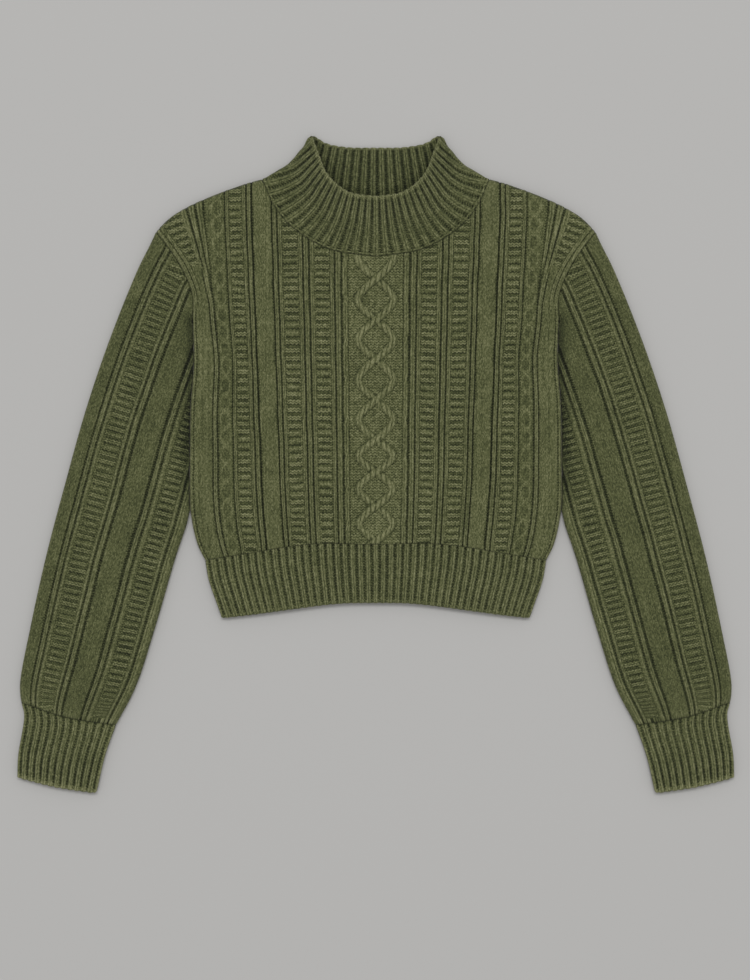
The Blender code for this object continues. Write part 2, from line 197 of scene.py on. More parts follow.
# The sleeve from its outer fold to its inner one; shares of its width.
SLEEVE_CHART = (
    ("plain", 0.098, 0.6),
    ("purls", 0.021, 1.0),
    ("pair", 0.028, 1.0),
    ("purls", 0.018, 0.85),
    ("bead", 0.028, 1.0),
    ("dip", 0.007, 0.6),
    ("rungs", 0.145, 0.9),
    ("dip", 0.005, 0.6),
    ("bead", 0.022, 1.0),
    ("purls", 0.019, 0.9),
    ("pair", 0.033, 1.0),
    ("purls", 0.026, 1.1),
    ("plain", 0.167, 0.6),
    ("purls", 0.027, 1.15),
    ("pair", 0.030, 1.0),
    ("purls", 0.021, 0.85),
    ("bead", 0.034, 1.0),
    ("dip", 0.015, 0.6),
    ("rungs", 0.127, 1.15),
    ("dip", 0.005, 0.6),
    ("bead", 0.023, 1.0),
    ("purls", 0.022, 0.9),
    ("pair", 0.038, 1.0),
    ("plain", 0.036, 0.6),
)
# How a width at chest height changes up and down the body: (y, scale)
BODY_SCALE = (
    (-85.0, 0.915), (-59.0, 0.936), (-16.0, 0.960), (27.0, 0.970), (70.0, 0.984),
    (120.0, 1.0), (200.0, 1.024), (268.0, 1.046),
)
# Heights at which the two cords of the centre cable cross, and how far out they swing
CABLE_CROSSINGS = (-118.0, -81.5, -44.0, -7.5, 26.8, 69.7, 113.1, 155.5, 199.5, 246.0)
CABLE_SWING = 19.4
CABLE_ROUND = 1.42
CABLE_HALF = 3.8       # half the width of a cord
STRAND_PITCH = 3.1     # across a cord, from strand to strand
STRAND_LEAN = 0.52     # how much steeper than their cord the strands run
RUNG_PERIOD = 8.1      # ladder rungs on the body
SLEEVE_RUNG_PERIOD = 7.6
LEAN = math.radians(20.0)   # of the wales below the shoulder tip
LOOP_SWAY = 0.055      # of the loops along a body rung, in rungs
RUNG_SWAY = 0.015      # of those along a sleeve rung
OVAL_PERIOD = 19.0
OVAL_REACH = 8.4
OVALS_END = 169.6       # chart place where the fan of shoulder ribs starts
SHOULDER_RIBS = 3
LADDER_START = (206.5, 263.0, 0.35)   # x, y and lean of the shoulder ladder's inner edge

# Where mesh columns are set within one stitch column: shares of its width
SAMPLES = {
    "pair": (0.0, 0.22, 0.5, 0.78),
    "wavy": (0.0, 0.25, 0.5, 0.75),
    "bead": (0.0, 0.25, 0.5, 0.75),
    "groove": (0.0, 0.5),
    "dip": (0.0, 0.5),
    "purls": (0.0, 0.3, 0.7),
}
CELL = {"diamond": 0.78, "ladder": 1.28, "rungs": 1.7, "plain": 1.75, "ovals": 1.1, "edge": 0.72}

# Ribs: share of a repeat that stands up, and the mesh columns of one repeat
RIB_SHARE = 0.62
RIB_SAMPLES = (0.0, 0.10, 0.20, 0.31, 0.42, 0.52, 0.62, 0.81)
HEM_RIBS = 22          # in half of the front
COLLAR_RIBS = 16       # in half of the front, at its rim
COLLAR_RUN_OUT = 0.16  # share of them that run out on the folded side
COLLAR_COLUMNS = 208   # mesh columns in half of the front
INSIDE_RIB = 8.4       # repeat of the ribs seen inside the collar's back, at its rim
INSIDE_SPREAD = 0.0042  # how they part below it, per mm
PEAK_PUSH = np.array((1.5, 3.1))   # the fold stands out at the collar's peaks
# Corners that are rounded: place, radius, way out and half the turn in degrees
ROUNDED = {
    "collar": (np.array(COLLAR_PEAK) + PEAK_PUSH, 8.0, 82.5, 44.0),
    "hem": (HEM_CORNER, 4.0, -57.6, 38.6),
    "cuff_out": (CUFF_CORNER_OUT, 4.0, -36.8, 39.2),
    "cuff_in": (CUFF_CORNER_IN, 4.0, -124.0, 42.8),
}
CUFF_RIBS = 12         # in one layer
HEM_LENGTH = 63.0      # from its seam to its cast-on edge
HEM_HALF = 176.0       # half of its width, midway down
HEM_RIB_WIDTH = 8.54   # of knitting in one repeat
RING_RIB_WIDTH = 8.0   # the same, in the collar and cuffs
COLLAR_LENGTH = 64.0   # from its seam to its rim, in front
CUFF_LENGTH = 82.0     # along its outer side
RIM_RADIUS = 1.5       # half of the cloth's thickness
RIM_TURN = (0.0, 30.0, 60.0, 90.0, 120.0, 150.0, 180.0)   # sections of a rounded rim

# Mesh rows of each piece
FRONT_ROWS = 214
BACK_ROWS = 110
SLEEVE_ROWS = 380
HEM_ROWS = 44
COLLAR_ROWS = 42
CUFF_ROWS = 52
COARSE = 6             # an inside that does not show has one row to this many outside

LOWER_RELIEF = 0.6     # the side that is lain on is pressed flatter
CREST = 1.0            # highest relief of a rib, in mm

# sRGB colours of the washed cotton, read as tones from a deep groove to a faded crest.  The groove
# and shade colours also stand for painted shade in hollows and seams; the faded crest is the wash.
OLIVE_SHADED_GROOVE = "14180A"
OLIVE_SHADE = "3C4127"
OLIVE_PLAIN = "5F633F"
OLIVE_FADED = "999972"
FLOOR_GREY = "C4C3C1"

# How much each kind of unevenness changes the tone
YARN_SHARE = 1.1
PATCH_SHARE = 0.35
STRAND_SHARE = 0.35
STITCH_SHARE = 0.6
FACE_SHARE = 0.5
# Strength of the rungs' painted light and shade in the tone
RUNG_LIGHT_AND_SHADE = 0.88
# Across one rung of a ladder, from hollow to hollow: (share, brightness).  Used as bump height and
# as painted light and shade: the lit bar and a painted shadow under it.
RUNG_LINES = (
    (0.0, 0.22), (0.08, 0.66), (0.17, 0.94), (0.28, 0.50), (0.40, 0.94),
    (0.52, 0.62), (0.62, 0.2), (0.76, 0.0), (0.90, 0.06), (1.0, 0.22),
)


def smooth(x):
    """Ease from 0 to 1 as x goes from 0 to 1."""
    x = np.clip(x, 0.0, 1.0)
    return x * x * (3.0 - 2.0 * x)


def bell(x, width):
    """A rounded bump, 1 where x is 0."""
    return np.exp(-np.square(x / width))


def uneven(x, y, cell, seed):
    """Smooth random values from -1 to 1 that change every cell (mm across, mm along)."""
    table = np.random.default_rng(seed).uniform(-1.0, 1.0, (97, 89))
    p = x / cell[0]
    q = y / cell[1]
    i = np.floor(p).astype(int)
    j = np.floor(q).astype(int)
    s = smooth(p - i)
    t = smooth(q - j)
    low = table[i % 97, j % 89] * (1.0 - s) + table[(i + 1) % 97, j % 89] * s
    high = table[i % 97, (j + 1) % 89] * (1.0 - s) + table[(i + 1) % 97, (j + 1) % 89] * s
    return low * (1.0 - t) + high * t


# ---- plan lines --------------------------------------------------------------------
def reach_of(line):
    """Length along a line up to each of its points."""
    return np.concatenate(([0.0], np.cumsum(np.hypot(*np.diff(line, axis=0).T))))


def at_shares(line, shares):
    """Points of a line at shares of its length."""
    reach = reach_of(line)
    want = np.asarray(shares) * reach[-1]
    return np.column_stack([np.interp(want, reach, line[:, k]) for k in (0, 1)])


def line_through(points, count=401):
    """Even points of a smooth curve through the given ones."""
    knots = np.array(points)
    full = np.vstack((2 * knots[0] - knots[1], knots, 2 * knots[-1] - knots[-2]))
    dense = []
    for i in range(1, len(full) - 2):
        before, a, b, after = full[i - 1:i + 3]
        t1 = math.sqrt(math.dist(a, before))
        t2 = t1 + math.sqrt(math.dist(b, a))
        t3 = t2 + math.sqrt(math.dist(after, b))
        t = (t1 + (t2 - t1) * np.arange(24) / 24)[:, None]
        p = before + (a - before) * t / t1
        q = a + (b - a) * (t - t1) / (t2 - t1)
        r = b + (after - b) * (t - t2) / (t3 - t2)
        pq = p + (q - p) * t / t2
        qr = q + (r - q) * (t - t1) / (t3 - t1)
        dense.append(pq + (qr - pq) * (t - t1) / (t2 - t1))
    dense.append(knots[-1:])
    return at_shares(np.vstack(dense), np.linspace(0.0, 1.0, count))


def turned_right(line):
    """Unit vectors along a line, and to the right of it."""
    along = np.gradient(line, axis=0)
    along /= np.hypot(along[:, 0], along[:, 1])[:, None]
    return along, np.column_stack((along[:, 1], -along[:, 0]))


def pulled_in(line, gap):
    """A line moved to its right."""
    return line + turned_right(line)[1] * gap


def on_right(plan):
    """Plan points, those of the left half turned over to the right."""
    return np.concatenate((np.abs(plan[..., :1]), plan[..., 1:2]), axis=-1)


def both_halves(half):
    """A plan grid of the right half, made whole across the centre line."""
    return np.concatenate((half[:, :0:-1] * (-1.0, 1.0), half), axis=1)


def about_centre(values):
    """Values from the centre outwards, with their negatives on the left."""
    return np.concatenate((-values[:0:-1], values))


def coons(bottom, top, left, right):
    """Plan grid filling four edges that meet at their ends, row by row."""
    u = (reach_of(top) / reach_of(top)[-1])[None, :, None]
    v = (reach_of(right) / reach_of(right)[-1])[:, None, None]
    ruled = bottom[None] * (1 - v) + top[None] * v
    ruled = ruled + left[:, None] * (1 - u) + right[:, None] * u
    low = bottom[0] * (1 - u) + bottom[-1] * u
    high = top[0] * (1 - u) + top[-1] * u
    return ruled - low * (1 - v) - high * v


def moved_ends(line, start, end):
    """The same line, eased over so that it starts and ends at two given points."""
    share = (reach_of(line) / reach_of(line)[-1])[:, None]
    return line + (start - line[0]) * (1 - share) + (end - line[-1]) * share


LINE = {name: line_through(points) for name, points in OUTLINES.items()}
BESIDE = pulled_in(LINE["side"], BESIDE_GAP)
BESIDE = BESIDE[LINE["side"][:, 1] >= CROTCH[1]][::-1]


def thinned(*lines, step=3.0):
    """Lines joined end to end and sampled again at an even step."""
    whole = np.vstack([lines[0]] + [line[1:] for line in lines[1:]])
    count = int(reach_of(whole)[-1] / step)
    return at_shares(whole, np.linspace(0.0, 1.0, count))


# Folded edges, each running so that the cloth is on its left
OUTER_FOLD = thinned(LINE["shoulder"], LINE["sleeve_out"], LINE["cuff_out"])[::-1]
INNER_FOLD = thinned(BESIDE, LINE["sleeve_in"], LINE["cuff_in"])
BODY_FOLD = thinned(LINE["hem_side"], LINE["side"])
COLLAR_FOLD = thinned(LINE["collar_side"])
ARMHOLE = thinned(LINE["armhole"], step=1.5)
FOLDS = {
    "body": (OUTER_FOLD, BODY_FOLD, COLLAR_FOLD),
    "sleeve": (OUTER_FOLD, INNER_FOLD),
    "collar": (COLLAR_FOLD, OUTER_FOLD),
}


def nearest_points(line, plan):
    """In batches of plan points: which point of a line is nearest, and the way to it."""
    for part in np.array_split(plan.reshape(-1, 2), max(1, plan.size // 8000)):
        gap = np.square(part[:, None, 0] - line[None, :, 0])
        gap += np.square(part[:, None, 1] - line[None, :, 1])
        i = gap.argmin(axis=1)
        yield i, line[i] - part


def distance_to(line, plan):
    """Distance from plan points to a line with the cloth on its left, and the way to it."""
    along, right = turned_right(line)
    result = []
    for i, away in nearest_points(line, plan):
        aside = np.einsum("ij,ij->i", away, right[i])
        beyond = np.abs(np.einsum("ij,ij->i", away, along[i]))
        at_end = ((i == 0) | (i == len(line) - 1)) & (beyond > 1.0)
        length = np.hypot(away[:, 0], away[:, 1])
        near = np.where(at_end, length, np.maximum(aside, 0.0))
        way = np.where(at_end[:, None], away / np.maximum(length, 0.01)[:, None], right[i])
        result.append(np.column_stack((near, way)))
    result = np.vstack(result).reshape(plan.shape[:-1] + (3,))
    return result[..., 0], result[..., 1:]


def crease_heights(plan, creases):
    """Rounded ridges or hollows that fade out at both ends."""
    height = np.zeros(plan.shape[:-1])
    for x0, y0, x1, y1, width, rise in creases:
        start = np.array((x0, y0))
        run = np.array((x1, y1)) - start
        t = (plan - start) @ run / (run @ run)
        aside = np.linalg.norm(plan - start - t[..., None] * run, axis=-1)
        height += rise * np.sin(math.pi * np.clip(t, 0.0, 1.0)) ** 2 * bell(aside, width)
    return height


def cloth_layer(plan, piece, upper):
    """Outer surface of the upper or lower cloth over plan points: points, normals, depth.

    The last value is the distance in from the nearest folded edge.
    """
    near = np.full(plan.shape[:-1], 1e9)
    way = np.zeros(plan.shape)
    mirrored = on_right(plan)
    for line in FOLDS[piece]:
        gap, towards = distance_to(line, mirrored)
        closer = gap < near
        near = np.where(closer, gap, near)
        way = np.where(closer[..., None], towards, way)
    way = way * np.where(plan[..., :1] < 0.0, (-1.0, 1.0), (1.0, 1.0))
    cos_turn = np.clip(1.0 - near / FOLD_RUN, 0.0, 1.0)
    sin_turn = np.sqrt(1.0 - cos_turn * cos_turn)
    if upper:
        start = SIDE_SEAM_Z + HALF_GAP
        rise = LAYERS_Z - start
        height = start + rise * sin_turn + CROWN * smooth(near / CROWN_RUN)
        height = height + crease_heights(mirrored, CREASES.get(piece, ()))
        up = sin_turn / rise
    else:
        start = SIDE_SEAM_Z - HALF_GAP
        height = start * (1.0 - sin_turn)
        up = -sin_turn / start
    normal = np.concatenate((way * (cos_turn / FOLD_RUN)[..., None], up[..., None]), axis=-1)
    normal /= np.linalg.norm(normal, axis=-1, keepdims=True)
    return np.concatenate((plan, height[..., None]), axis=-1), normal, near


# ---- stitches: height in mm, tone and purl share over a share s of a column ---------
def arch(s):
    """The full round section of a rib."""
    return np.sin(math.pi * np.clip(s, 0.0, 1.0)) ** 0.6


def knit_pair(s, v, depth, seed):
    """Two wales side by side, with a fine line between them."""
    middle = bell(s - 0.5, 0.11)
    body = arch(s)
    chain = uneven(np.sign(s - 0.5) * 3.0 + seed, v, (1.0, 2.2), seed + 2)
    height = -0.35 + depth * (1.2 * body - 0.55 * middle) + 0.07 * chain
    # Tone: lighter on the wales for the wash fade; the fine line between them is darkened as
    # painted shade.
    return height, 0.62 * body - 0.78 * middle - 0.16 + 0.13 * chain * body, 0.0 * s


def groove(s, v, depth, seed):
    """Purl wales drawn in between two ribs."""
    body = np.sin(math.pi * s)
    # The tone darkens into the groove, partly for the purl wales' deeper colour and partly as
    # painted shade.
    return -0.35 - 1.55 * depth * body, -0.25 - 0.95 * depth * body, s * 0.0 + 1.0


def dip(s, v, depth, seed):
    """A narrow hollow beside a rib, drawn in less than a groove."""
    body = np.sin(math.pi * s)
    # The tone darkens into the hollow, partly for its deeper colour and partly as painted shade.
    return -0.35 - 0.5 * depth * body, -0.2 - 0.4 * depth * body, s * 0.0 + 1.0


def bead_rib(s, v, depth, seed):
    """A narrow rib of small twists."""
    twist = np.sin(2 * math.pi * (v / 4.3 + 0.35 * s) + seed)
    body = arch(s)
    return -0.35 + body * (0.85 + 0.22 * twist), 0.3 * body - 0.15 + 0.16 * twist * body, s * 0.0


def ladder(s, v, depth, seed):
    """Raised rungs with a hollow between them; the cotton draws their loops."""
    p = (v / RUNG_PERIOD) % 1.0
    bar = smooth(p / 0.2) * smooth((0.62 - p) / 0.2)
    edge = smooth(np.minimum(s, 1.0 - s) / 0.06)
    uneven_tone = 0.08 * uneven(s * 15.0, v, (5.0, 5.0), seed)
    return -0.85 + 1.2 * depth * edge * bar, -0.10 + uneven_tone, 1.0 + edge * depth


def thin_rungs(s, v, depth, seed):
    """Low fine rungs that come and go."""
    p = (v / SLEEVE_RUNG_PERIOD) % 1.0
    strength = depth * (0.85 + 0.2 * uneven(s * 6.0, v, (9.0, 30.0), seed + 5))
    bar = smooth(p / 0.2) * smooth((0.62 - p) / 0.2)
    edge = smooth(np.minimum(s, 1.0 - s) / 0.06)
    return -0.6 + 0.6 * strength * bar * edge, -0.22 + 0.0 * s, 1.0 + edge * strength


def plain(s, v, depth, seed):
    """Stockinette with a prouder wale at each border."""
    border = bell(np.minimum(s, 1.0 - s), 0.07)
    height = 0.05 + 0.22 * border + 0.10 * uneven(s * 18.0, v, (5.0, 30.0), seed)
    streak = 0.05 * uneven(s * 18.0, v, (3.0, 40.0), seed + 1)
    return height, 0.14 * border + streak - 0.35 * (1.0 - depth), s * 0.0


def ovals(s, v, depth, seed):
    """A sunken column of long ovals, each with a raised border."""
    lumps = uneven(s * 15.0, v, (2.6, 3.6), seed)
    drift = 1.6 * uneven(s * 0.0, v, (1.0, 30.0), seed + 1)
    along = ((v + drift) / OVAL_PERIOD) % 1.0 - 0.5
    reach = np.hypot((s - 0.5) / 0.36, along * OVAL_PERIOD / OVAL_REACH)
    border = bell(reach - 1.0, 0.17)
    inside = smooth((1.0 - reach) / 0.35)
    height = -0.45 + 0.5 * border - 0.12 * inside + 0.12 * lumps
    # Tone: the sunken insides are darkened as painted shade.
    return height, -0.14 + 0.30 * border - 0.12 * inside + 0.10 * lumps, s * 0.0 + 0.3


def purls(s, v, depth, seed):
    """A drawn-in groove in which the purl bumps still show as dots."""
    body = np.sin(math.pi * s)
    dots = np.sin(2 * math.pi * v / 2.9 + seed) * body
    # The tone darkens into the groove, partly for the purl wales' deeper colour and partly as
    # painted shade.
    tone = -0.2 - 0.72 * depth * body + 0.15 * dots
    return -0.35 - 1.3 * depth * body + 0.15 * dots, tone, s * 0.0 + 1.0


def edge_wales(s, v, depth, seed):
    """Plain wales towards the side, streaked along their length."""
    streak = uneven(s * 22.0, v, (2.6, 34.0), seed)
    return 0.05 + 0.18 * streak, -0.03 + 0.15 * streak, s * 0.0


STITCHES = {
    "pair": knit_pair,
    "wavy": knit_pair,
    "groove": groove,
    "dip": dip,
    "bead": bead_rib,
    "ladder": ladder,
    "rungs": thin_rungs,
    "plain": plain,
    "ovals": ovals,
    "purls": purls,
    "edge": edge_wales,
}


def chart_edges(chart, whole=None):
    """Where each column of a chart starts and the last one ends, in mm."""
    edges = np.concatenate(([0.0], np.cumsum([width for _, width, _ in chart])))
    return edges if whole is None else edges * whole / edges[-1]


def chart_columns(chart, whole=None):
    """Mesh columns that suit a chart, in mm from its start."""
    edges = chart_edges(chart, whole)
    columns = []
    for (kind, _, _), start, end in zip(chart, edges, edges[1:]):
        if kind in SAMPLES:
            shares = SAMPLES[kind]
        else:
            count = max(2, round((end - start) / CELL[kind]))
            shares = np.arange(count) / count
        columns.extend(start + (end - start) * s for s in shares)
    return np.array(columns + [edges[-1]])


def knit(chart, across, v, seed, whole=None):
    """Height, tone and purl share of a charted fabric at mm across and mm along."""
    edges = chart_edges(chart, whole)
    index = np.clip(np.searchsorted(edges, across, side="right") - 1, 0, len(chart) - 1)
    height = np.zeros(across.shape)
    tone = np.zeros(across.shape)
    purl = np.zeros(across.shape)
    for k, (kind, _, depth) in enumerate(chart):
        here = index == k
        if kind not in STITCHES or not here.any():
            continue
        s = (across[here] - edges[k]) / (edges[k + 1] - edges[k])
        stitch = STITCHES[kind](s, v[here], depth, seed + 7 * k)
        height[here], tone[here], purl[here] = stitch
    return height, tone, purl


def rib_relief(phase, v, length, seed, share=RIB_SHARE, depth=1.0, notched=1.0, closed=0.75):
    """Two-by-two rib over its repeat: height, tone, purl.

    The drawn-in wales close up in the last few mm before a cast-on edge, and start
    with a dark notch at the seam.  The notch's darkness is painted shade; that of the
    drawn-in wales is partly their deeper colour and partly painted shade.
    """
    phase = phase % 1.0
    raised = phase < share
    s = np.where(raised, phase / share, (phase - share) / (1.0 - share))
    knit_h, knit_t, _ = knit_pair(s, v, 1.0, seed)
    body = np.sin(math.pi * s)
    opening = smooth((length - v) / (3.0 + 3.0 * closed))
    notch = notched * bell(v - 1.5, 2.2)
    drawn_h = -0.35 - (1.45 * depth + 0.4 * notch) * body * (1.0 - closed + closed * opening)
    drawn_t = -0.1 - (0.62 * depth + 0.35 * notch) * body * (1.0 - closed + closed * opening)
    height = np.where(raised, knit_h + 0.25 * bell(v - 4.0, 3.0), drawn_h)
    tone = np.where(raised, knit_t, drawn_t)
    return height, tone, np.where(raised, 0.0, 1.0)


def centre_cable(u, v):
    """Two cords that cross and part in diamonds on a purl ground.

    The cord that climbs to the right always passes over the other one.
    """
    cross = np.array(CABLE_CROSSINGS)
    k = np.clip(np.searchsorted(cross, v, side="right") - 1, 0, len(cross) - 2)
    s = (v - cross[k]) / (cross[k + 1] - cross[k])
    swing = CABLE_SWING * (1.0 - np.abs(1.0 - 2.0 * s) ** CABLE_ROUND)
    place = np.where(k % 2 == 0, swing, -swing)
    slope = np.gradient(place, axis=0) / np.gradient(v, axis=0)
    tilt = 1.0 / np.sqrt(1.0 + slope * slope)
    at_cross = bell(v - np.where(s < 0.5, cross[k], cross[k + 1]), 2.8)
    grain = uneven(u, v, (1.7, 1.3), 4)
    height = -0.55 + 0.09 * grain
    tone = -0.06 + 0.26 * grain
    cords = []
    for hand in (1.0, -1.0):
        off = (u - hand * place) * tilt
        rises = hand * slope > 0.0
        rope = np.sqrt(np.clip(1.0 - (off / CABLE_HALF) ** 2, 0.0, 1.0))
        phase = (off + STRAND_LEAN * hand * place) / STRAND_PITCH
        furrow = bell((phase + 0.5) % 1.0 - 0.5, 0.16)
        sunk = np.where(rises, 0.0, at_cross)
        raised = -0.55 + rope * (1.9 - 0.9 * sunk - 0.5 * furrow)
        # Painted shade: the furrows between strands and a cord where it passes under are darkened,
        # and the outline is a painted shadow on the ground round each cord; the lighter crown is
        # the wash fade.
        shade = 0.54 * rope - 0.10 - 0.75 * furrow * rope - 0.35 * sunk
        outline = bell(np.abs(off) - CABLE_HALF - 0.2, 0.9)
        cords.append((rises, rope, raised, shade, outline))
    for under_first in (False, True):
        for rises, rope, raised, shade, outline in cords:
            now = rises == under_first
            on = now & (rope > 0.0)
            tone = np.where(now, tone - 0.42 * outline, tone)
            tone = np.where(on, shade, tone)
            height = np.where(on, np.maximum(height, raised), height)
    return height, tone, np.where(height > -0.2, 0.0, 1.0)


# ---- meshes ----------------------------------------------------------------------
def index_grid(rows, columns, first):
    """Vertex numbers of a grid, from its first one on."""
    return first + np.arange(rows * columns).reshape(rows, columns)


def quads(index, wrap_rows=False, wrap_columns=False):
    """Quads between neighbours of an index grid."""
    if wrap_rows:
        index = np.vstack((index, index[:1]))
    if wrap_columns:
        index = np.hstack((index, index[:, :1]))
    corners = (index[:-1, :-1], index[:-1, 1:], index[1:, 1:], index[1:, :-1])
    return np.stack(corners, axis=-1).reshape(-1, 4).tolist()


def zipped(one, two):
    """Triangles between two lines of vertices that may differ in number."""
    faces = []
    i = j = 0
    while i < len(one) - 1 or j < len(two) - 1:
        next_one = (i + 1) / (len(one) - 1)
        next_two = (j + 1) / (len(two) - 1)
        if j == len(two) - 1 or (i < len(one) - 1 and next_one <= next_two):
            faces.append([one[i], one[i + 1], two[j]])
            i += 1
        else:
            faces.append([one[i], two[j + 1], two[j]])
            j += 1
    return faces


def thin_index(count, step):
    """Every few rows or columns, and always the last."""
    return np.unique(np.append(np.arange(0, count, step), count - 1))


def add_cloth(name, points, faces, marks, material):
    """Make one piece of the garment, named after its solid, and hang it on the body.

    marks holds u, v (mm), tone, purl share and count of rungs for every point.
    """
    mesh = bpy.data.meshes.new(name + "_knit")
    mesh.from_pydata((points * MM).tolist(), [], faces)
    bm = bmesh.new()
    bm.from_mesh(mesh)
    bmesh.ops.recalc_face_normals(bm, faces=bm.faces)
    bm.to_mesh(mesh)
    bm.free()
    corner = np.empty(len(mesh.loops), dtype=np.int32)
    mesh.loops.foreach_get("vertex_index", corner)
    weave = mesh.uv_layers.new(name="knit")
    weave.data.foreach_set("uv", (marks[corner, :2] * MM).astype(np.float32).ravel())
    for k, attribute in ((2, "tone"), (3, "purl"), (4, "rung")):
        layer = mesh.attributes.new(attribute, "FLOAT", "POINT")
        layer.data.foreach_set("value", marks[:, k].astype(np.float32))
    mesh.shade_smooth()
    mesh.materials.append(material)
    corners = np.array(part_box(name))
    reach = np.array((points.min(axis=0), points.max(axis=0))) * MM
    if np.abs(reach - corners)[:, :2].max() > PLACE_SLACK:
        raise RuntimeError(name + " does not lie where its solid does")
    piece = bpy.data.objects.new(name + "_knit", mesh)
    bpy.context.scene.collection.objects.link(piece)
    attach(piece, BODY)
    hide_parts(name)
    return piece


def shell(outer, inner, marks, back_marks):
    """Points, faces and marks of a closed cloth panel from its two grids."""
    front = index_grid(*outer.shape[:2], 0)
    back = index_grid(*inner.shape[:2], front.size)
    faces = quads(front) + quads(back)
    for fine, coarse in (
        (front[0], back[0]), (front[-1], back[-1]),
        (front[:, 0], back[:, 0]), (front[:, -1], back[:, -1]),
    ):
        faces += zipped(fine.tolist(), coarse.tolist())
    points = np.vstack((outer.reshape(-1, 3), inner.reshape(-1, 3)))
    width = marks.shape[-1]
    return points, faces, np.vstack((marks.reshape(-1, width), back_marks.reshape(-1, width)))


def relieved(base, normal, height, near, upper):
    """Cloth surface with its relief, which fades towards a folded edge."""
    fade = 0.25 + 0.75 * smooth(near / 5.0)
    if not upper:
        height = (height - CREST) * LOWER_RELIEF
    return base + normal * (height * fade)[..., None]


def marks_of(u, v, tone, purl, rung=0.0):
    """What the cotton reads at each point: place, tone, purl share and count of rungs."""
    return np.stack((u, v, tone, purl, rung + 0.0 * tone), axis=-1)


def seam_valley(distance, strength=1.0):
    """Cloth drawn down into a seam: height to add, and tone to add that is painted shade in the
    valley.
    """
    return -1.2 * strength * bell(distance, 1.5), -0.5 * strength * bell(distance, 0.9)


def wall_of(context):
    """Thickness of the cloth in mm."""
    return context.scene.sweater_knit.wall / MM


# ---- body ------------------------------------------------------------------------
CHART_EDGES = chart_edges(BODY_CHART)
EDGE_START = CHART_EDGES[-4]
EDGE_END = CHART_EDGES[-1]


def edge_x(y):
    """x of the body's side below the underarm, and of the armhole above it."""
    heights = np.concatenate((LINE["side"][:, 1], LINE["armhole"][::-1, 1][1:]))
    places = np.concatenate((LINE["side"][:, 0], LINE["armhole"][::-1, 0][1:] - HALF_GAP))
    x = np.interp(y, heights, places)
    return x + 0.9 * np.maximum(0.0, y - SHOULDER_TIP[1])


def body_x(u, y):
    """Where the wale at u, measured at chest height, lies at height y."""
    scale = np.interp(y, *zip(*BODY_SCALE))
    side = edge_x(y)
    below = smooth((165.0 - y) / 60.0)
    lean = 0.16 * np.maximum(0.0, y - 172.0)

    def inside(w):
        spare = np.clip((w - 125.0) / 74.5, 0.0, 1.0) * (side - 199.5 * scale) * below
        return w * scale + spare + lean * smooth((w - 166.0) / 9.0)

    start = inside(np.full(np.shape(y), EDGE_START))
    share = (u - EDGE_START) / (EDGE_END - EDGE_START)
    return np.where(u <= EDGE_START, inside(u), start + (side - start) * np.clip(share, 0, 1))


def meets(u, line, low, high):
    """Height at which each wale meets a line that is a height for every x."""
    low = np.full(u.shape, low)
    high = np.full(u.shape, high)
    for _ in range(40):
        middle = (low + high) / 2
        above = np.interp(body_x(u, middle), line[:, 0], line[:, 1]) > middle
        low = np.where(above, middle, low)
        high = np.where(above, high, middle)
    return (low + high) / 2


def body_plan(neck, rows):
    """Plan grid of a whole body panel, and each column's u."""
    half = chart_columns(BODY_CHART)
    near_fold = EDGE_END - np.array((3.4, 2.4, 1.5, 0.8, 0.3))
    fan = np.arange(OVALS_END - 2.0, EDGE_START, 0.5)
    half = np.unique(np.concatenate((half[half < EDGE_END - 4.0], fan, near_fold, [EDGE_END])))
    half = half[np.diff(half, prepend=-1.0) > 0.2]
    top_line = np.vstack((neck, LINE["shoulder"][1:]))
    bottom = meets(half, LINE["hem_seam"], -140.0, 0.0) + HALF_GAP
    top = meets(half, top_line, 150.0, 330.0) - HALF_GAP
    waist = 120.0
    low_rows = round(rows * 0.57)
    t = np.arange(rows + 1)[:, None]
    low = bottom + (waist - bottom) * np.minimum(t / low_rows, 1.0)
    y = np.where(t <= low_rows, low, waist + (top - waist) * (t - low_rows) / (rows - low_rows))
    x = body_x(np.broadcast_to(half, y.shape), y)
    return both_halves(np.stack((x, y), axis=-1)), about_centre(half)


def body_relief(plan, u):
    """Charted relief of a body panel, with the borders along its armholes."""
    y = plan[..., 1]
    u = np.broadcast_to(u, y.shape)
    crossings = np.array(CABLE_CROSSINGS)
    widest = (crossings[1:] + crossings[:-1]) / 2
    bend = sum(bell(y - place, 3.5) for place in widest)
    wobble = 0.35 * uneven(u * 0 + 5.0, y, (9.0, 24.0), 11)
    # The narrow columns beside the cable bend out where its diamonds are widest
    wavy = (np.abs(u) > 27.0) & (np.abs(u) < 38.0)
    across = np.abs(u + wobble * (np.abs(u) < EDGE_START))
    across = across + np.where(wavy, 1.3 * bend, 0.0) * bell(np.abs(u) - 32.0, 3.5)
    rung = y / RUNG_PERIOD + 0.3 * uneven(u + 300.0, y, (34.0, 38.0), 12)
    height, tone, purl = knit(BODY_CHART, across, rung * RUNG_PERIOD, 20)
    pinch = crease_heights(plan, PUCKERS)
    height = height + pinch
    # The pinches are painted lighter where they rise and darker where they dip: painted light and
    # shade.
    tone = tone + 0.5 * pinch
    cable = centre_cable(u, y)
    inside = across < CHART_EDGES[1]
    height, tone, purl = (np.where(inside, c, r) for c, r in zip(cable, (height, tone, purl)))
    return armhole_border(plan, height, tone, purl, rung)


def blended(old, new, share):
    """Height, tone and purl share, eased from the old ones over to the new."""
    return [a * (1 - share) + b * share for a, b in zip(old, new)]


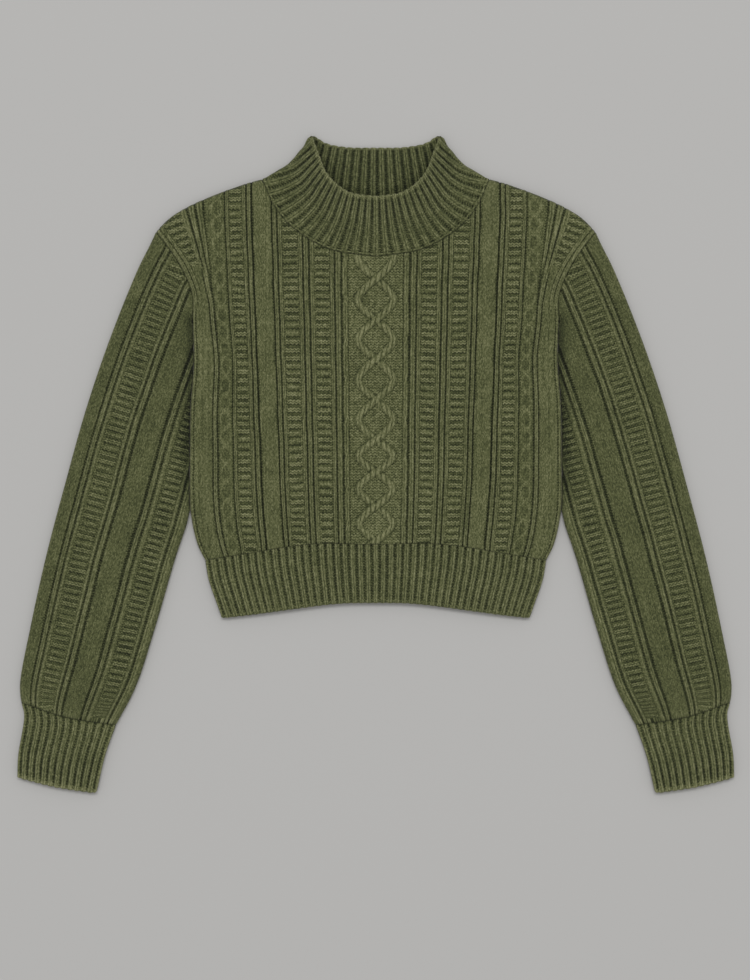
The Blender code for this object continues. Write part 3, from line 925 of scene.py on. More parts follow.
def armhole_border(plan, height, tone, purl, rung):
    """Rib pairs that follow the armhole seam on the body side."""
    right = np.abs(plan[..., 0])
    y = plan[..., 1]
    gap, _ = distance_to(ARMHOLE[::-1], np.stack((right, y), axis=-1))
    inner = body_x(np.full(y.shape, OVALS_END), y)
    outer = LADDER_START[0] + (y - LADDER_START[1]) * LADDER_START[2]
    beside = (right - inner) / np.maximum(outer - inner, 4.0) * SHOULDER_RIBS
    v = y * math.cos(LEAN) + right * math.sin(LEAN)
    repeat = np.clip(beside, 0.0, SHOULDER_RIBS - 0.001) % 1.0
    on_rib = repeat > 0.3
    ribs = [
        np.where(on_rib, rib, drawn) for rib, drawn in zip(
            knit_pair(np.clip((repeat - 0.3) / 0.7, 0.0, 1.0), y, 0.95, 92),
            groove(np.clip(repeat / 0.3, 0.0, 1.0), y, 0.75, 93))]
    share = (right - outer) / np.maximum(right - outer + gap - 10.0, 0.5)
    rungs = ladder(np.clip(share, 0.0, 1.0), v, 1.0, 70)
    rung = np.where((right > outer - 4.0) & (y > 205.0), v / RUNG_PERIOD, rung)
    for shape, blend in (
        (ribs, smooth((y - 196.0) / 26.0) * (right > inner - 0.4) * (right <= outer)),
        (rungs, smooth((y - 211.0) / 5.0) * (right > outer) * (gap > 10.0)),
    ):
        height, tone, purl = blended((height, tone, purl), shape, blend)
    chain = smooth((y - 168.0) / 8.0) * smooth((222.0 - y) / 20.0) * (gap > 0.8) * (gap < 4.2)
    twist = np.sin(2 * math.pi * (y / 4.8 + gap / 6.0))
    beads = (0.5 + 0.35 * twist, 0.05 + 0.34 * twist, 0.0 * y)
    height, tone, purl = blended((height, tone, purl), beads, chain)
    strength = 0.9 * smooth((y - 158.0) / 34.0)
    for kind, start, end, depth in (
        ("pair", 1.0, 4.4, 1.0), ("groove", 4.4, 5.6, 0.5), ("pair", 5.6, 9.0, 0.9),
        ("dip", 9.0, 10.0, 0.9),
    ):
        here = (gap >= start) & (gap < end)
        s = np.clip((gap - start) / (end - start), 0.0, 1.0)
        shape = STITCHES[kind](s, y, depth, 90)
        height, tone, purl = blended((height, tone, purl), shape, strength * here)
    return height, tone, purl, rung


def build_panel(context, name, neck, upper, rows):
    """The front or back of the body, drawn down into its seams."""
    plan, u = body_plan(neck, rows)
    base, normal, near = cloth_layer(plan, "body", upper)
    height, tone, purl, rung = body_relief(plan, u)
    place = on_right(plan)
    # Seams: the cloth drawn down, with painted shade in each valley.
    for line, strength in ((neck, 0.45), (LINE["hem_seam"], 0.15), (ARMHOLE, 0.8)):
        gap = distance_along(line, place)
        drop, shade = seam_valley(gap, strength)
        height = height * smooth(gap / 2.2) + drop
        tone = tone + shade
    outer = relieved(base, normal, height, near, upper)
    pick = np.ix_(*(thin_index(count, COARSE) for count in plan.shape[:2]))
    inner = (base - normal * wall_of(context))[pick]
    marks = marks_of(plan[..., 0], plan[..., 1], tone, purl, rung)
    points, faces, marks = shell(outer, inner, marks, marks[pick])
    material = cotton(context, "washed_cotton_cable", LOOP_SWAY)
    return add_cloth(name, points, faces, marks, material)


def distance_along(line, plan):
    """Plain distance from plan points to a line, on either side of it."""
    result = []
    line = thinned(line, step=1.5)
    along, right = turned_right(line)
    for i, away in nearest_points(line, plan):
        aside = np.abs(np.einsum("ij,ij->i", away, right[i]))
        beyond = np.abs(np.einsum("ij,ij->i", away, along[i]))
        result.append(np.hypot(aside, np.maximum(0.0, beyond - 0.8)))
    return np.concatenate(result).reshape(plan.shape[:-1])


# ---- ribs ------------------------------------------------------------------------
def rib_shares(ribs):
    """Mesh columns of a number of ribs, as shares of their width."""
    return np.concatenate([k + np.array(RIB_SAMPLES) for k in range(ribs)] + [[ribs]]) / ribs


def rolled_rim(base, normal, wall, band):
    """A grid carried over its last row and round its rim to the other face.

    Returns the rows of the turn; band is the direction across the rim, outwards.
    """
    radius = wall / 2
    rows = []
    for angle in RIM_TURN[1:]:
        turn = math.radians(angle)
        depth = radius * (1 - math.cos(turn))
        rows.append(base - normal * depth + band * radius * math.sin(turn))
    return np.stack(rows)


def build_hem(context, name, upper):
    """The front or back of the hem, its ribs rolled over at the cast-on edge."""
    seam = pulled_in(LINE["hem_seam"], HALF_GAP)
    edge_line = moved_ends(LINE["hem_side"], LINE["hem_edge"][-1], seam[-1])
    wall = wall_of(context)
    rows = np.linspace(0.0, 1.0, HEM_ROWS)
    beside_fold = (1 - 0.9 / HEM_HALF, 1 - 0.35 / HEM_HALF)
    share = np.unique(np.append(rib_shares(HEM_RIBS), beside_fold))
    top = at_shares(seam, share)
    bottom = at_shares(LINE["hem_edge"] + (0.0, wall / 2), share)
    edge_line = moved_ends(edge_line, bottom[-1], top[-1])
    side = at_shares(edge_line, rows)
    left = at_shares(np.vstack((bottom[0], top[0])), rows)
    plan = both_halves(coons(bottom, top, left, side)[::-1])
    phase = about_centre(share * HEM_RIBS)
    base, normal, near = cloth_layer(plan, "body", upper)
    v = np.broadcast_to(np.linspace(0.0, HEM_LENGTH, HEM_ROWS)[:, None], near.shape)
    wander = 0.03 * uneven(plan[..., 0], v, (30.0, 30.0), 31)
    open_middle = 0.10 * smooth(1.0 - np.abs(plan[..., 0]) / 150.0)
    share_up = RIB_SHARE - open_middle
    phase_at = phase + 0.5 * share_up + wander
    height, tone, purl = rib_relief(phase_at, v, HEM_LENGTH, 33, share_up, 0.9)
    # The hem seam's valley, with painted shade in it.
    drop, shade = seam_valley(v, 0.12)
    height = height * smooth((v + 1.5) / 3.0) + drop
    tone = tone + shade + 0.10 * bell(v - 1.5, 1.5)
    outer = relieved(base, normal, height, near, upper)
    band = np.zeros((plan.shape[1], 3))
    band[:, 1] = -1.0
    turned = rolled_rim(outer[-1], normal[-1], wall + height[-1][:, None] * 0.6, band)
    outer = rounded(np.concatenate((outer, turned)), "hem")
    u = phase * HEM_RIB_WIDTH
    rim_marks = np.repeat(marks_of(u, v[-1], tone[-1], purl[-1])[None], len(turned), 0)
    marks = marks_of(np.broadcast_to(u, tone.shape), -v, tone, purl)
    marks = np.concatenate((marks, rim_marks))
    pick = np.ix_(thin_index(plan.shape[0] - 3, COARSE), thin_index(plan.shape[1], 4))
    inner = (base - normal * wall)[pick]
    points, faces, marks = shell(outer, inner, marks, marks[pick])
    material = cotton(context, "washed_cotton_rib", 0.0)
    return add_cloth(name, points, faces, marks, material)


def rib_ring(
        context, name, folds, closed, sides, seed, inside_step, edge_run, corners,
        mirror=False, linked=0.0):
    """A ribbed tube from its two layers, with a rolled rim and a ribbed inside.

    Each side is (plan, upper, phase, lift, shade inside); its columns run on round the tube.
    corners are those of its outline that are rounded, and linked is the strength of the
    chain line along its seam.
    """
    wall = wall_of(context)
    grids = []
    all_marks = []
    for plan, upper, phase, lift, inside_shade in sides:
        base, normal, near = cloth_layer(plan, folds, upper)
        base[..., 2] += lift
        v = np.concatenate(([0.0], np.cumsum(np.linalg.norm(np.diff(plan[:, 0], axis=0), axis=1))))
        v = np.broadcast_to(v[:, None], near.shape)
        wander = 0.03 * uneven(plan[..., 0] + 400.0, v, (26.0, 26.0), seed)
        toward_rim = smooth((v / v[-1] - 0.3) / 0.6)
        share_up = RIB_SHARE - 0.04 + 0.08 * toward_rim
        depth = 0.8 + 0.5 * toward_rim
        phase_at = phase + 0.5 * share_up + wander
        height, tone, purl = rib_relief(
            phase_at, v, v[-1, 0], seed + 1, share_up, depth, 0.4, closed)
        # The seam's valley, with painted shade in it.
        drop, shade = seam_valley(v, 0.5)
        height = height * smooth(v / 4.0) + drop
        chain = linked * bell(v - 1.5, 1.0)
        height = height * (1.0 - 0.8 * chain) + 0.5 * chain
        tone = tone * (1.0 - 0.8 * chain) + 0.25 * chain
        # Painted highlight: a light band along the rolled rim.  Painted shade: a thin dark line
        # just past the chain along the seam.  The collar's raised wales are darkened as well.
        shade = shade + 0.30 * bell(v[-1] - v, 3.6) - 0.25 * linked * bell(v - 3.6, 0.8)
        shade = shade - 0.18 * linked * (1.0 - purl)
        # Along the collar's folded sides the rib tones are evened out and lightened: painted light
        # on the fold.
        tone = tone * (1.0 - 0.7 * linked * bell(near, 3.5)) + 0.12 * linked * bell(near, 3.0)
        outer = relieved(base, normal, height, near, upper)
        band = base[-1] - base[-2]
        band = band / np.linalg.norm(band, axis=1, keepdims=True)
        inside_h, inside_t, inside_p = rib_relief(
            phase + wander, v, v[-1, 0], seed + 2, depth=0.8, closed=0.3)
        swell = (height if upper else 0.6 * inside_h)[-1][:, None]
        rim = rolled_rim(outer[-1], normal[-1], wall + swell, band)
        fade = (0.2 + 0.8 * smooth(near / 8.0)) * smooth((v[-1] - v) / 3.0)
        inner = base - normal * (wall + inside_h * 0.85 * fade)[..., None]
        rows = thin_index(plan.shape[0], inside_step)[::-1][1:]
        u = np.broadcast_to(phase * RING_RIB_WIDTH, v.shape)
        marks = marks_of(u, v, tone + shade, purl)
        rim_marks = np.repeat(marks[-1][None], len(rim), axis=0)
        rim_marks[..., 1] += np.arange(1, len(rim) + 1)[:, None] * 0.8
        # The rim's rows are painted lighter and more even: a painted highlight on the rolled rim.
        rim_marks[..., 2] = 0.5 * rim_marks[..., 2] + 0.08
        # The inside is painted darker, as painted shade inside the tube, and inside_shade adds a
        # painted shadow under the collar's front rim.
        dark = inside_t - 0.25 - inside_shade
        inside_marks = marks_of(u, edge_run - v, dark, inside_p)[rows]
        grids.append(np.concatenate((outer, rim, inner[rows])))
        all_marks.append(np.concatenate((marks, rim_marks, inside_marks)))
    grid = np.concatenate(grids, axis=1)
    marks = np.concatenate(all_marks, axis=1)
    for corner in corners:
        grid = rounded(grid, corner)
    if mirror:
        grid = grid * (-1.0, 1.0, 1.0)
    faces = quads(index_grid(*grid.shape[:2], 0), wrap_rows=True, wrap_columns=True)
    material = cotton(context, "washed_cotton_rib", 0.0)
    return add_cloth(
        name, grid.reshape(-1, 3), faces, marks.reshape(-1, marks.shape[-1]), material)


def fold_shares(shares, width, both=False):
    """Mesh columns with a few more beside a folded edge."""
    extra = np.array((0.3, 0.8)) / width
    ends = np.concatenate((extra, 1.0 - extra)) if both else 1.0 - extra
    return np.unique(np.concatenate((shares, ends)))


def collar_side_plan(neck, rim, rows):
    """Plan grid of the collar's front or back, from the neck seam to its rim."""
    share = fold_shares(np.linspace(0.0, 1.0, COLLAR_COLUMNS + 1), 110.0)
    bottom = at_shares(pulled_in(neck, -HALF_GAP), share)
    top = at_shares(pulled_in(rim, RIM_RADIUS), share)
    edge = at_shares(moved_ends(LINE["collar_side"], bottom[-1], top[-1]), rows)
    left = at_shares(np.vstack((bottom[0], top[0])), rows)
    half = coons(bottom, top, left, edge)
    to_peak = np.linalg.norm(half - np.array(COLLAR_PEAK), axis=-1)
    half = half + PEAK_PUSH * bell(to_peak, 10.0)[..., None]
    phase = about_centre(share) * COLLAR_RIBS
    return both_halves(half), phase * (1.0 - COLLAR_RUN_OUT * (1.0 - rows[:, None]))


def rounded(grid, corner):
    """The grid with a corner of its outline, and the mirrored one, turned to an arc."""
    place, radius, way, spread = ROUNDED[corner]
    turn = math.cos(math.radians(spread))
    plan = on_right(grid)
    out = np.array((math.cos(math.radians(way)), math.sin(math.radians(way))))
    centre = np.array(place) - out * radius / turn
    arm = plan - centre
    reach = np.linalg.norm(arm, axis=-1)
    within = (arm @ out) / np.maximum(reach, 0.01) > turn
    over = np.where(within, np.maximum(reach - radius, 0.0), 0.0)
    pulled = plan - arm / np.maximum(reach, 0.01)[..., None] * (0.97 * over)[..., None]
    result = grid.copy()
    result[..., 0] = pulled[..., 0] * np.where(grid[..., 0] < 0.0, -1.0, 1.0)
    result[..., 1] = pulled[..., 1]
    return result


def build_collar(context):
    """The neck band, its front standing off its back, ribbed inside as well."""
    rows = np.linspace(0.0, 1.0, COLLAR_ROWS)
    front, phase = collar_side_plan(LINE["neck_front"], LINE["rim_front"], rows)
    back, _ = collar_side_plan(LINE["neck_back"], LINE["rim_back"], rows)
    clear = distance_along(LINE["collar_side"], on_right(front)) - FOLD_RUN
    lift = COLLAR_LIFT * smooth(rows)[:, None] * smooth(clear / COLLAR_LIFT_RUN)
    back = back[:, ::-1]
    shadow = 0.25 * bell(distance_along(LINE["rim_front"], on_right(back)), 7.0)
    parted = 1.0 + INSIDE_SPREAD * (LINE["rim_back"][0, 1] - back[..., 1])
    sides = (
        (front, True, phase, lift, 0.0),
        (back, False, -back[..., 0] / (INSIDE_RIB * parted), 0.0, shadow),
    )
    return rib_ring(
        context, "collar", "collar", 0.85, sides, 51, 1, COLLAR_LENGTH,
        ("collar",), linked=1.0)


def build_cuff(context, name, seed, mirror):
    """A cuff, both layers from one plan."""
    share = fold_shares(rib_shares(CUFF_RIBS), 100.0, both=True)
    rows = np.linspace(0.0, 1.0, CUFF_ROWS)
    seam = at_shares(pulled_in(LINE["cuff_seam"], -HALF_GAP)[::-1], share)
    shift = np.array((-0.2, 0.98)) * RIM_RADIUS
    edge = at_shares(LINE["cuff_edge"][::-1] + shift, share)
    left = at_shares(moved_ends(LINE["cuff_in"], seam[0], edge[0]), rows)
    right = at_shares(moved_ends(LINE["cuff_out"], seam[-1], edge[-1]), rows)
    plan = coons(seam, edge, left, right)
    phase = share * CUFF_RIBS
    sides = (
        (plan, True, phase, 0.0, 0.0),
        (plan[:, ::-1], False, CUFF_RIBS + phase, 0.0, 0.0),
    )
    return rib_ring(
        context, name, "sleeve", 0.75, sides, seed, COARSE, CUFF_LENGTH,
        ("cuff_out", "cuff_in"), mirror)


# ---- sleeves ---------------------------------------------------------------------
def sleeve_plan(rows):
    """Plan grid of a sleeve from its outer fold inwards, with its knitting coordinates."""
    armhole = pulled_in(LINE["armhole"], -HALF_GAP)
    shares = np.linspace(0.0, 1.0, 201)
    cap = at_shares(armhole, shares * CAP_SHARE)
    lower = at_shares(armhole, CAP_SHARE + shares * (1.0 - CAP_SHARE))
    inner_line = np.vstack((lower, BESIDE[3:], LINE["sleeve_in"][1:]))
    seam = pulled_in(LINE["cuff_seam"], HALF_GAP)
    outer_line = moved_ends(LINE["sleeve_out"], cap[0], seam[0])
    inner_line = moved_ends(inner_line, cap[-1], seam[-1])
    t = np.linspace(0.0, 1.0, rows + 1)
    outer = at_shares(outer_line, t)
    inner = at_shares(inner_line, t)
    along = np.gradient(outer, axis=0)
    along /= np.linalg.norm(along, axis=1, keepdims=True)
    row = inner - outer
    width = np.linalg.norm(row, axis=1)
    cross = np.abs(row[:, 0] * along[:, 1] - row[:, 1] * along[:, 0])
    widest = int(cross.argmax())
    whole = cross[widest]
    columns = chart_columns(SLEEVE_CHART, whole)
    near_fold = np.array((0.3, 0.8, 1.5, 2.4, 3.4))
    ends = np.concatenate((near_fold, whole - near_fold, [0.0, whole]))
    middle = columns[(columns > 4.0) & (columns < whole - 4.0)]
    columns = np.unique(np.concatenate((middle, ends)))
    full = cross[:, None]
    strip = np.minimum(12.0, 0.35 * full)
    aligned = full - strip
    squeezed = aligned + (columns - aligned) * strip / np.maximum(whole - aligned, 1e-6)
    above = np.where(columns <= aligned, columns, squeezed)
    below = columns * full / whole
    upper_part = (np.arange(rows + 1) < widest)[:, None]
    offset = np.where(upper_part, above, below)
    across = np.where(upper_part, above, np.broadcast_to(columns, above.shape))
    q = offset / full
    plan = outer[:, None] + row[:, None] * q[..., None]
    for line, weight in ((cap, (1 - t / 0.3)), (seam, (t - 0.85) / 0.15)):
        reach = reach_of(line) / reach_of(line)[-1]
        bow = line - line[0] - (line[-1] - line[0]) * reach[:, None]
        moved = np.stack([np.interp(q, reach, bow[:, k]) for k in (0, 1)], axis=-1)
        plan = plan + moved * (np.clip(weight, 0.0, 1.0) ** 2)[:, None, None]
    down = t[:, None] * reach_of(outer_line)[-1]
    down = down + q * (row * along).sum(axis=1)[:, None]
    return plan, across, down, whole


def build_sleeve(context, name, seed, mirror):
    """A sleeve, both layers from one plan, gathered above its cuff."""
    plan, across, down, whole = sleeve_plan(SLEEVE_ROWS)
    wobble = 0.35 * uneven(across, down, (26.0, 40.0), seed)
    chart_at = np.clip(across + wobble * smooth(across / 8.0), 0.0, whole)
    rung = down / SLEEVE_RUNG_PERIOD + 0.12 * uneven(across, down, (60.0, 40.0), seed + 9)
    height, tone, purl = knit(SLEEVE_CHART, chart_at, rung * SLEEVE_RUNG_PERIOD, seed, whole)
    above_cuff = smooth((down.max() - 40.0 - down) / 60.0)
    purl = np.minimum(purl, 1.5 + 0.75 * above_cuff)
    gaps = [distance_along(LINE[line], plan) for line in ("armhole", "cuff_seam")]
    gathers = uneven(across, down * 0.0, (4.5, 1.0), seed + 3)
    for gap, pull in zip(gaps, (0.0, 1.0)):
        drop, shade = seam_valley(gap, 0.7 - 0.25 * pull)
        height = height * smooth(gap / 2.2) + drop
        height = height + pull * (0.7 + 0.5 * gathers) * bell(gap - 6.0, 4.0)
        # The seam valley's painted shade varies with the gathers, and the puff above the cuff seam
        # is painted lighter: a painted highlight.
        tone = tone + shade * (1.0 + 0.8 * pull * gathers) + 0.12 * pull * bell(gap - 5.0, 3.0)
    # Painted shade on the sleeve where it lies along the body's side.
    beside_body_shade = bell(distance_along(BESIDE, plan), 9.0) * smooth((plan[..., 1] + 62.0) / 40.0)
    tone = tone - 0.55 * beside_body_shade
    wall = wall_of(context)
    outers = []
    inners = []
    for upper in (True, False):
        base, normal, near = cloth_layer(plan, "sleeve", upper)
        outers.append(relieved(base, normal, height, near, upper))
        inners.append(base - normal * wall)
    marks = marks_of(across, down, tone, purl, rung)
    outer = np.concatenate((outers[0][:, ::-1], outers[1]), axis=1)
    inner = np.concatenate((inners[0][:, ::-1], inners[1]), axis=1)
    under = marks * (-1.0, 1.0, 1.0, 1.0, 1.0)
    marks = np.concatenate((marks[:, ::-1], under), axis=1)
    pick = np.ix_(thin_index(plan.shape[0], COARSE), thin_index(outer.shape[1], 4))
    points, faces, marks = shell(outer, inner[pick], marks, marks[pick])
    if mirror:
        points = points * (-1.0, 1.0, 1.0)
    material = cotton(context, "washed_cotton_rungs", RUNG_SWAY)
    return add_cloth(name, points, faces, marks, material)


# ---- material --------------------------------------------------------------------
def linear(hex_colour):
    """Linear RGBA of an sRGB hex colour."""
    parts = [int(hex_colour[i:i + 2], 16) / 255 for i in (0, 2, 4)]
    turned = [c / 12.92 if c <= 0.04045 else ((c + 0.055) / 1.055) ** 2.4 for c in parts]
    return (*turned, 1.0)


def add_node(tree, name, kind, inputs=(), **settings):
    """Add a named node; an input is a value, or the name of the node that feeds it."""
    node = tree.nodes.new(kind)
    node.name = name
    for key, value in settings.items():
        setattr(node, key, value)
    for socket, source in inputs:
        if isinstance(source, str):
            giver, _, output = source.partition(":")
            tree.links.new(tree.nodes[giver].outputs[output or 0], node.inputs[socket])
        else:
            node.inputs[socket].default_value = source
    return node


def cotton(context, name, sway):
    """Garment-washed cotton yarn, knitted and dyed in the piece.

    Washing leaves the yarn matt and a little hairy, and rubs the colour off what stands
    up: crests are faded and yellowish.  The drawn-in purl wales are deep green, partly
    for their unwashed colour and partly as painted shade; the tone also holds painted
    shade in seams and hollows and painted highlights on rims.
    """
    if name in bpy.data.materials:
        return bpy.data.materials[name]
    knit_size = context.scene.sweater_knit
    colours = context.scene.sweater_colours
    material = bpy.data.materials.new(name)
    material.use_nodes = True
    tree = material.node_tree
    shader = tree.nodes["Principled BSDF"]
    shader.inputs["Roughness"].default_value = 0.95
    shader.inputs["Specular IOR Level"].default_value = 0.18
    shader.inputs["Sheen Weight"].default_value = 0.06
    shader.inputs["Sheen Roughness"].default_value = 0.6

    add_node(tree, "uv", "ShaderNodeUVMap", uv_map="knit")
    add_node(tree, "stitches", "ShaderNodeMapping", (
        ("Vector", "uv"),
        ("Scale", (1.0 / knit_size.wale, 1.0 / knit_size.course, 1.0))))
    add_node(tree, "place", "ShaderNodeSeparateXYZ", ((0, "stitches"),))
    add_node(tree, "purl", "ShaderNodeAttribute", attribute_name="purl")
    add_node(tree, "charted", "ShaderNodeAttribute", attribute_name="tone")
    add_node(tree, "rung", "ShaderNodeAttribute", attribute_name="rung")
    # Yarn thickness varies from stitch to stitch, drawn out along the wales
    add_node(tree, "drawn out", "ShaderNodeMapping", (
        ("Vector", "stitches"), ("Scale", (1.6, 0.45, 1.0))))
    add_node(tree, "yarn", "ShaderNodeTexNoise", (
        ("Vector", "drawn out"), ("Scale", 1.0), ("Detail", 2.0), ("Roughness", 0.6)))
    # Knit face: two slanting legs to a stitch, stronger on every second course.
    # Purl face: rows of bumps that sway.  One purl stitch is too fine to show, so a
    # bump is drawn over two courses, and its sway over two wales.
    # Rungs: their loops sway over two wales as well.
    for row, operation, *values in (
        ("in wale", "FRACT", "place:X"),
        ("off middle", "SUBTRACT", "in wale", 0.5),
        ("aside", "ABSOLUTE", "off middle"),
        ("leg turn", "MULTIPLY", "aside", 2 * math.pi),
        ("leg", "SINE", "leg turn"),
        ("slanted", "MULTIPLY_ADD", "aside", 1.3, "place:Y"),
        ("course turn", "MULTIPLY", "slanted", 2 * math.pi),
        ("course", "SINE", "course turn"),
        ("second turn", "MULTIPLY", "slanted", math.pi),
        ("second course", "SINE", "second turn"),
        ("both courses", "MULTIPLY_ADD", "second course", 0.35, "course"),
        ("leg rise", "MULTIPLY_ADD", "both courses", 0.2, 0.65),
        ("knit face", "MULTIPLY", "leg", "leg rise"),
        ("loop turn", "MULTIPLY", "place:X", math.pi),
        ("loops", "SINE", "loop turn"),
        ("bump turn", "MULTIPLY", "place:Y", math.pi),
        ("swayed turn", "MULTIPLY_ADD", "loops", 1.3, "bump turn"),
        ("loose turn", "MULTIPLY_ADD", "yarn:Fac", 5.0, "swayed turn"),
        ("bumps", "SINE", "loose turn"),
        ("purl face", "MULTIPLY_ADD", "bumps", 0.6, 0.5),
        ("rung place", "MULTIPLY_ADD", "loops", sway, "rung:Fac"),
        ("along rung", "FRACT", "rung place"),
        ("on ladder", "SUBTRACT", "purl:Fac", 1.0),
        ("ladder share", "MAXIMUM", "on ladder", 0.0),
    ):
        add_node(tree, row, "ShaderNodeMath", enumerate(values), operation=operation)
    profile = add_node(tree, "rung lines", "ShaderNodeValToRGB", ((0, "along rung"),)).color_ramp
    for k, (position, grey) in enumerate(RUNG_LINES):
        stop = profile.elements[k] if k < 2 else profile.elements.new(position)
        stop.position = position
        stop.color = (grey, grey, grey, 1.0)
    add_node(tree, "face", "ShaderNodeMix", (
        (0, "purl:Fac"), (2, "knit face"), (3, "purl face")), data_type="FLOAT")
    # Wales differ a little in tension, and the wash fades in soft patches
    add_node(tree, "where", "ShaderNodeTexCoord")
    add_node(tree, "patch", "ShaderNodeTexNoise", (
        ("Vector", "where:Object"), ("Scale", 46.0), ("Detail", 2.0)))
    add_node(tree, "strands", "ShaderNodeTexNoise", (
        ("W", "place:X"), ("Scale", 1.0), ("Detail", 1.0)), noise_dimensions="1D")
    for row, operation, *values in (
        ("half wales", "MULTIPLY", "place:X", 2.0),
        ("leg number", "FLOOR", "half wales"),
        ("course number", "FLOOR", "slanted"),
        ("lines up", "SUBTRACT", "rung lines", 0.5),
        ("lines", "MULTIPLY", "lines up", "ladder share"),
    ):
        add_node(tree, row, "ShaderNodeMath", enumerate(values), operation=operation)
    add_node(tree, "leg place", "ShaderNodeCombineXYZ", ((0, "leg number"), (1, "course number")))
    add_node(tree, "stitch", "ShaderNodeTexWhiteNoise", (
        ("Vector", "leg place"),), noise_dimensions="2D")
    # Tone: the charted one, with each kind of unevenness about its middle.  The charted tone holds
    # painted shade and painted highlights as well as the wash fade.
    spread = -0.5 * (YARN_SHARE + PATCH_SHARE + STRAND_SHARE + STITCH_SHARE + FACE_SHARE)
    for row, operation, *values in (
        ("with rungs", "MULTIPLY_ADD", "lines", RUNG_LIGHT_AND_SHADE, "charted:Fac"),
        ("with yarn", "MULTIPLY_ADD", "yarn:Fac", YARN_SHARE, "with rungs"),
        ("with patch", "MULTIPLY_ADD", "patch:Fac", PATCH_SHARE, "with yarn"),
        ("with strands", "MULTIPLY_ADD", "strands:Fac", STRAND_SHARE, "with patch"),
        ("with stitch", "MULTIPLY_ADD", "stitch:Value", STITCH_SHARE, "with strands"),
        ("with face", "MULTIPLY_ADD", "face", FACE_SHARE, "with stitch"),
        ("centred", "ADD", "with face", spread),
        ("level", "MULTIPLY_ADD", "centred", 1.0 / 2.4, 0.5),
        ("face relief", "MULTIPLY_ADD", "yarn:Fac", 0.8, "face"),
        ("relief", "MULTIPLY_ADD", "lines", 2.0, "face relief"),
    ):
        add_node(tree, row, "ShaderNodeMath", enumerate(values), operation=operation)
    # The ramp runs from the deep groove colour, partly painted shade, to the faded crests.
    ramp = add_node(tree, "dye", "ShaderNodeValToRGB", ((0, "level"),)).color_ramp
    stops = (
        (0.0, colours.groove), (0.28, colours.shade), (0.5, colours.plain), (0.86, colours.faded))
    for k, (position, colour) in enumerate(stops):
        stop = ramp.elements[k] if k < 2 else ramp.elements.new(position)
        stop.position = position
        stop.color = (*colour, 1.0)
    add_node(tree, "fuzz", "ShaderNodeBump", (
        ("Height", "relief"), ("Strength", 0.55), ("Distance", 0.0004)))
    tree.links.new(tree.nodes["dye"].outputs[0], shader.inputs["Base Color"])
    tree.links.new(tree.nodes["fuzz"].outputs[0], shader.inputs["Normal"])
    return material


# ---- settings and operators --------------------------------------------------------
class SweaterKnit(bpy.types.PropertyGroup):
    """Sizes of the knitted cloth"""
    wale: bpy.props.FloatProperty(
        name="Wale", description="Width of one stitch", default=0.00205, min=0.0005,
        unit="LENGTH", precision=5)
    course: bpy.props.FloatProperty(
        name="Course", description="Height of one stitch", default=0.00145, min=0.0005,
        unit="LENGTH", precision=5)
    wall: bpy.props.FloatProperty(
        name="Cloth", description="Thickness of the cloth with its ribs", default=0.003,
        min=0.001, max=0.006, unit="LENGTH", precision=4)


class SweaterColours(bpy.types.PropertyGroup):
    """Tones of the washed cotton"""
    # Groove and shade give the drawn-in wales their deep colour and also painted shade in the
    # hollows.
    groove: bpy.props.FloatVectorProperty(
        name="Groove", description="Drawn-in purl wales", subtype="COLOR", size=3,
        default=linear(OLIVE_SHADED_GROOVE)[:3])
    shade: bpy.props.FloatVectorProperty(
        name="Shade", description="Recessed cloth", subtype="COLOR", size=3,
        default=linear(OLIVE_SHADE)[:3])
    plain: bpy.props.FloatVectorProperty(
        name="Plain", description="Flat stockinette", subtype="COLOR", size=3,
        default=linear(OLIVE_PLAIN)[:3])
    faded: bpy.props.FloatVectorProperty(
        name="Faded", description="Crests that the wash has rubbed", subtype="COLOR", size=3,
        default=linear(OLIVE_FADED)[:3])


class SweaterStage(bpy.types.PropertyGroup):
    """Floor and light"""
    floor: bpy.props.FloatVectorProperty(
        name="Floor", description="Floor colour", subtype="COLOR", size=3,
        default=linear(FLOOR_GREY)[:3])
    softbox: bpy.props.FloatProperty(
        name="Softbox", description="Power of the soft light", default=285.0, min=0.0,
        unit="POWER")
    sky: bpy.props.FloatProperty(
        name="Sky", description="Strength of the light from all round", default=0.53, min=0.0)


class SWEATER_OT_body(bpy.types.Operator):
    """Knit the front and back of the body"""
    bl_idname = "sweater.body"
    bl_label = "Body Panels"

    def execute(self, context):
        build_panel(context, "front_panel", LINE["neck_front"], True, FRONT_ROWS)
        build_panel(context, "back_panel", LINE["neck_back"], False, BACK_ROWS)
        return {"FINISHED"}


class SWEATER_OT_hem(bpy.types.Operator):
    """Knit the ribs along the hem"""
    bl_idname = "sweater.hem"
    bl_label = "Hem Ribs"

    def execute(self, context):
        build_hem(context, "hem_rib_front", True)
        build_hem(context, "hem_rib_back", False)
        return {"FINISHED"}


class SWEATER_OT_collar(bpy.types.Operator):
    """Knit the mock neck"""
    bl_idname = "sweater.collar"
    bl_label = "Collar"

    def execute(self, context):
        build_collar(context)
        return {"FINISHED"}


class SWEATER_OT_sleeves(bpy.types.Operator):
    """Knit both sleeves"""
    bl_idname = "sweater.sleeves"
    bl_label = "Sleeves"

    def execute(self, context):
        build_sleeve(context, "sleeve_right", 61, False)
        build_sleeve(context, "sleeve_left", 81, True)
        return {"FINISHED"}


class SWEATER_OT_cuffs(bpy.types.Operator):
    """Knit both cuffs"""
    bl_idname = "sweater.cuffs"
    bl_label = "Cuffs"

    def execute(self, context):
        build_cuff(context, "cuff_right", 71, False)
        build_cuff(context, "cuff_left", 91, True)
        return {"FINISHED"}


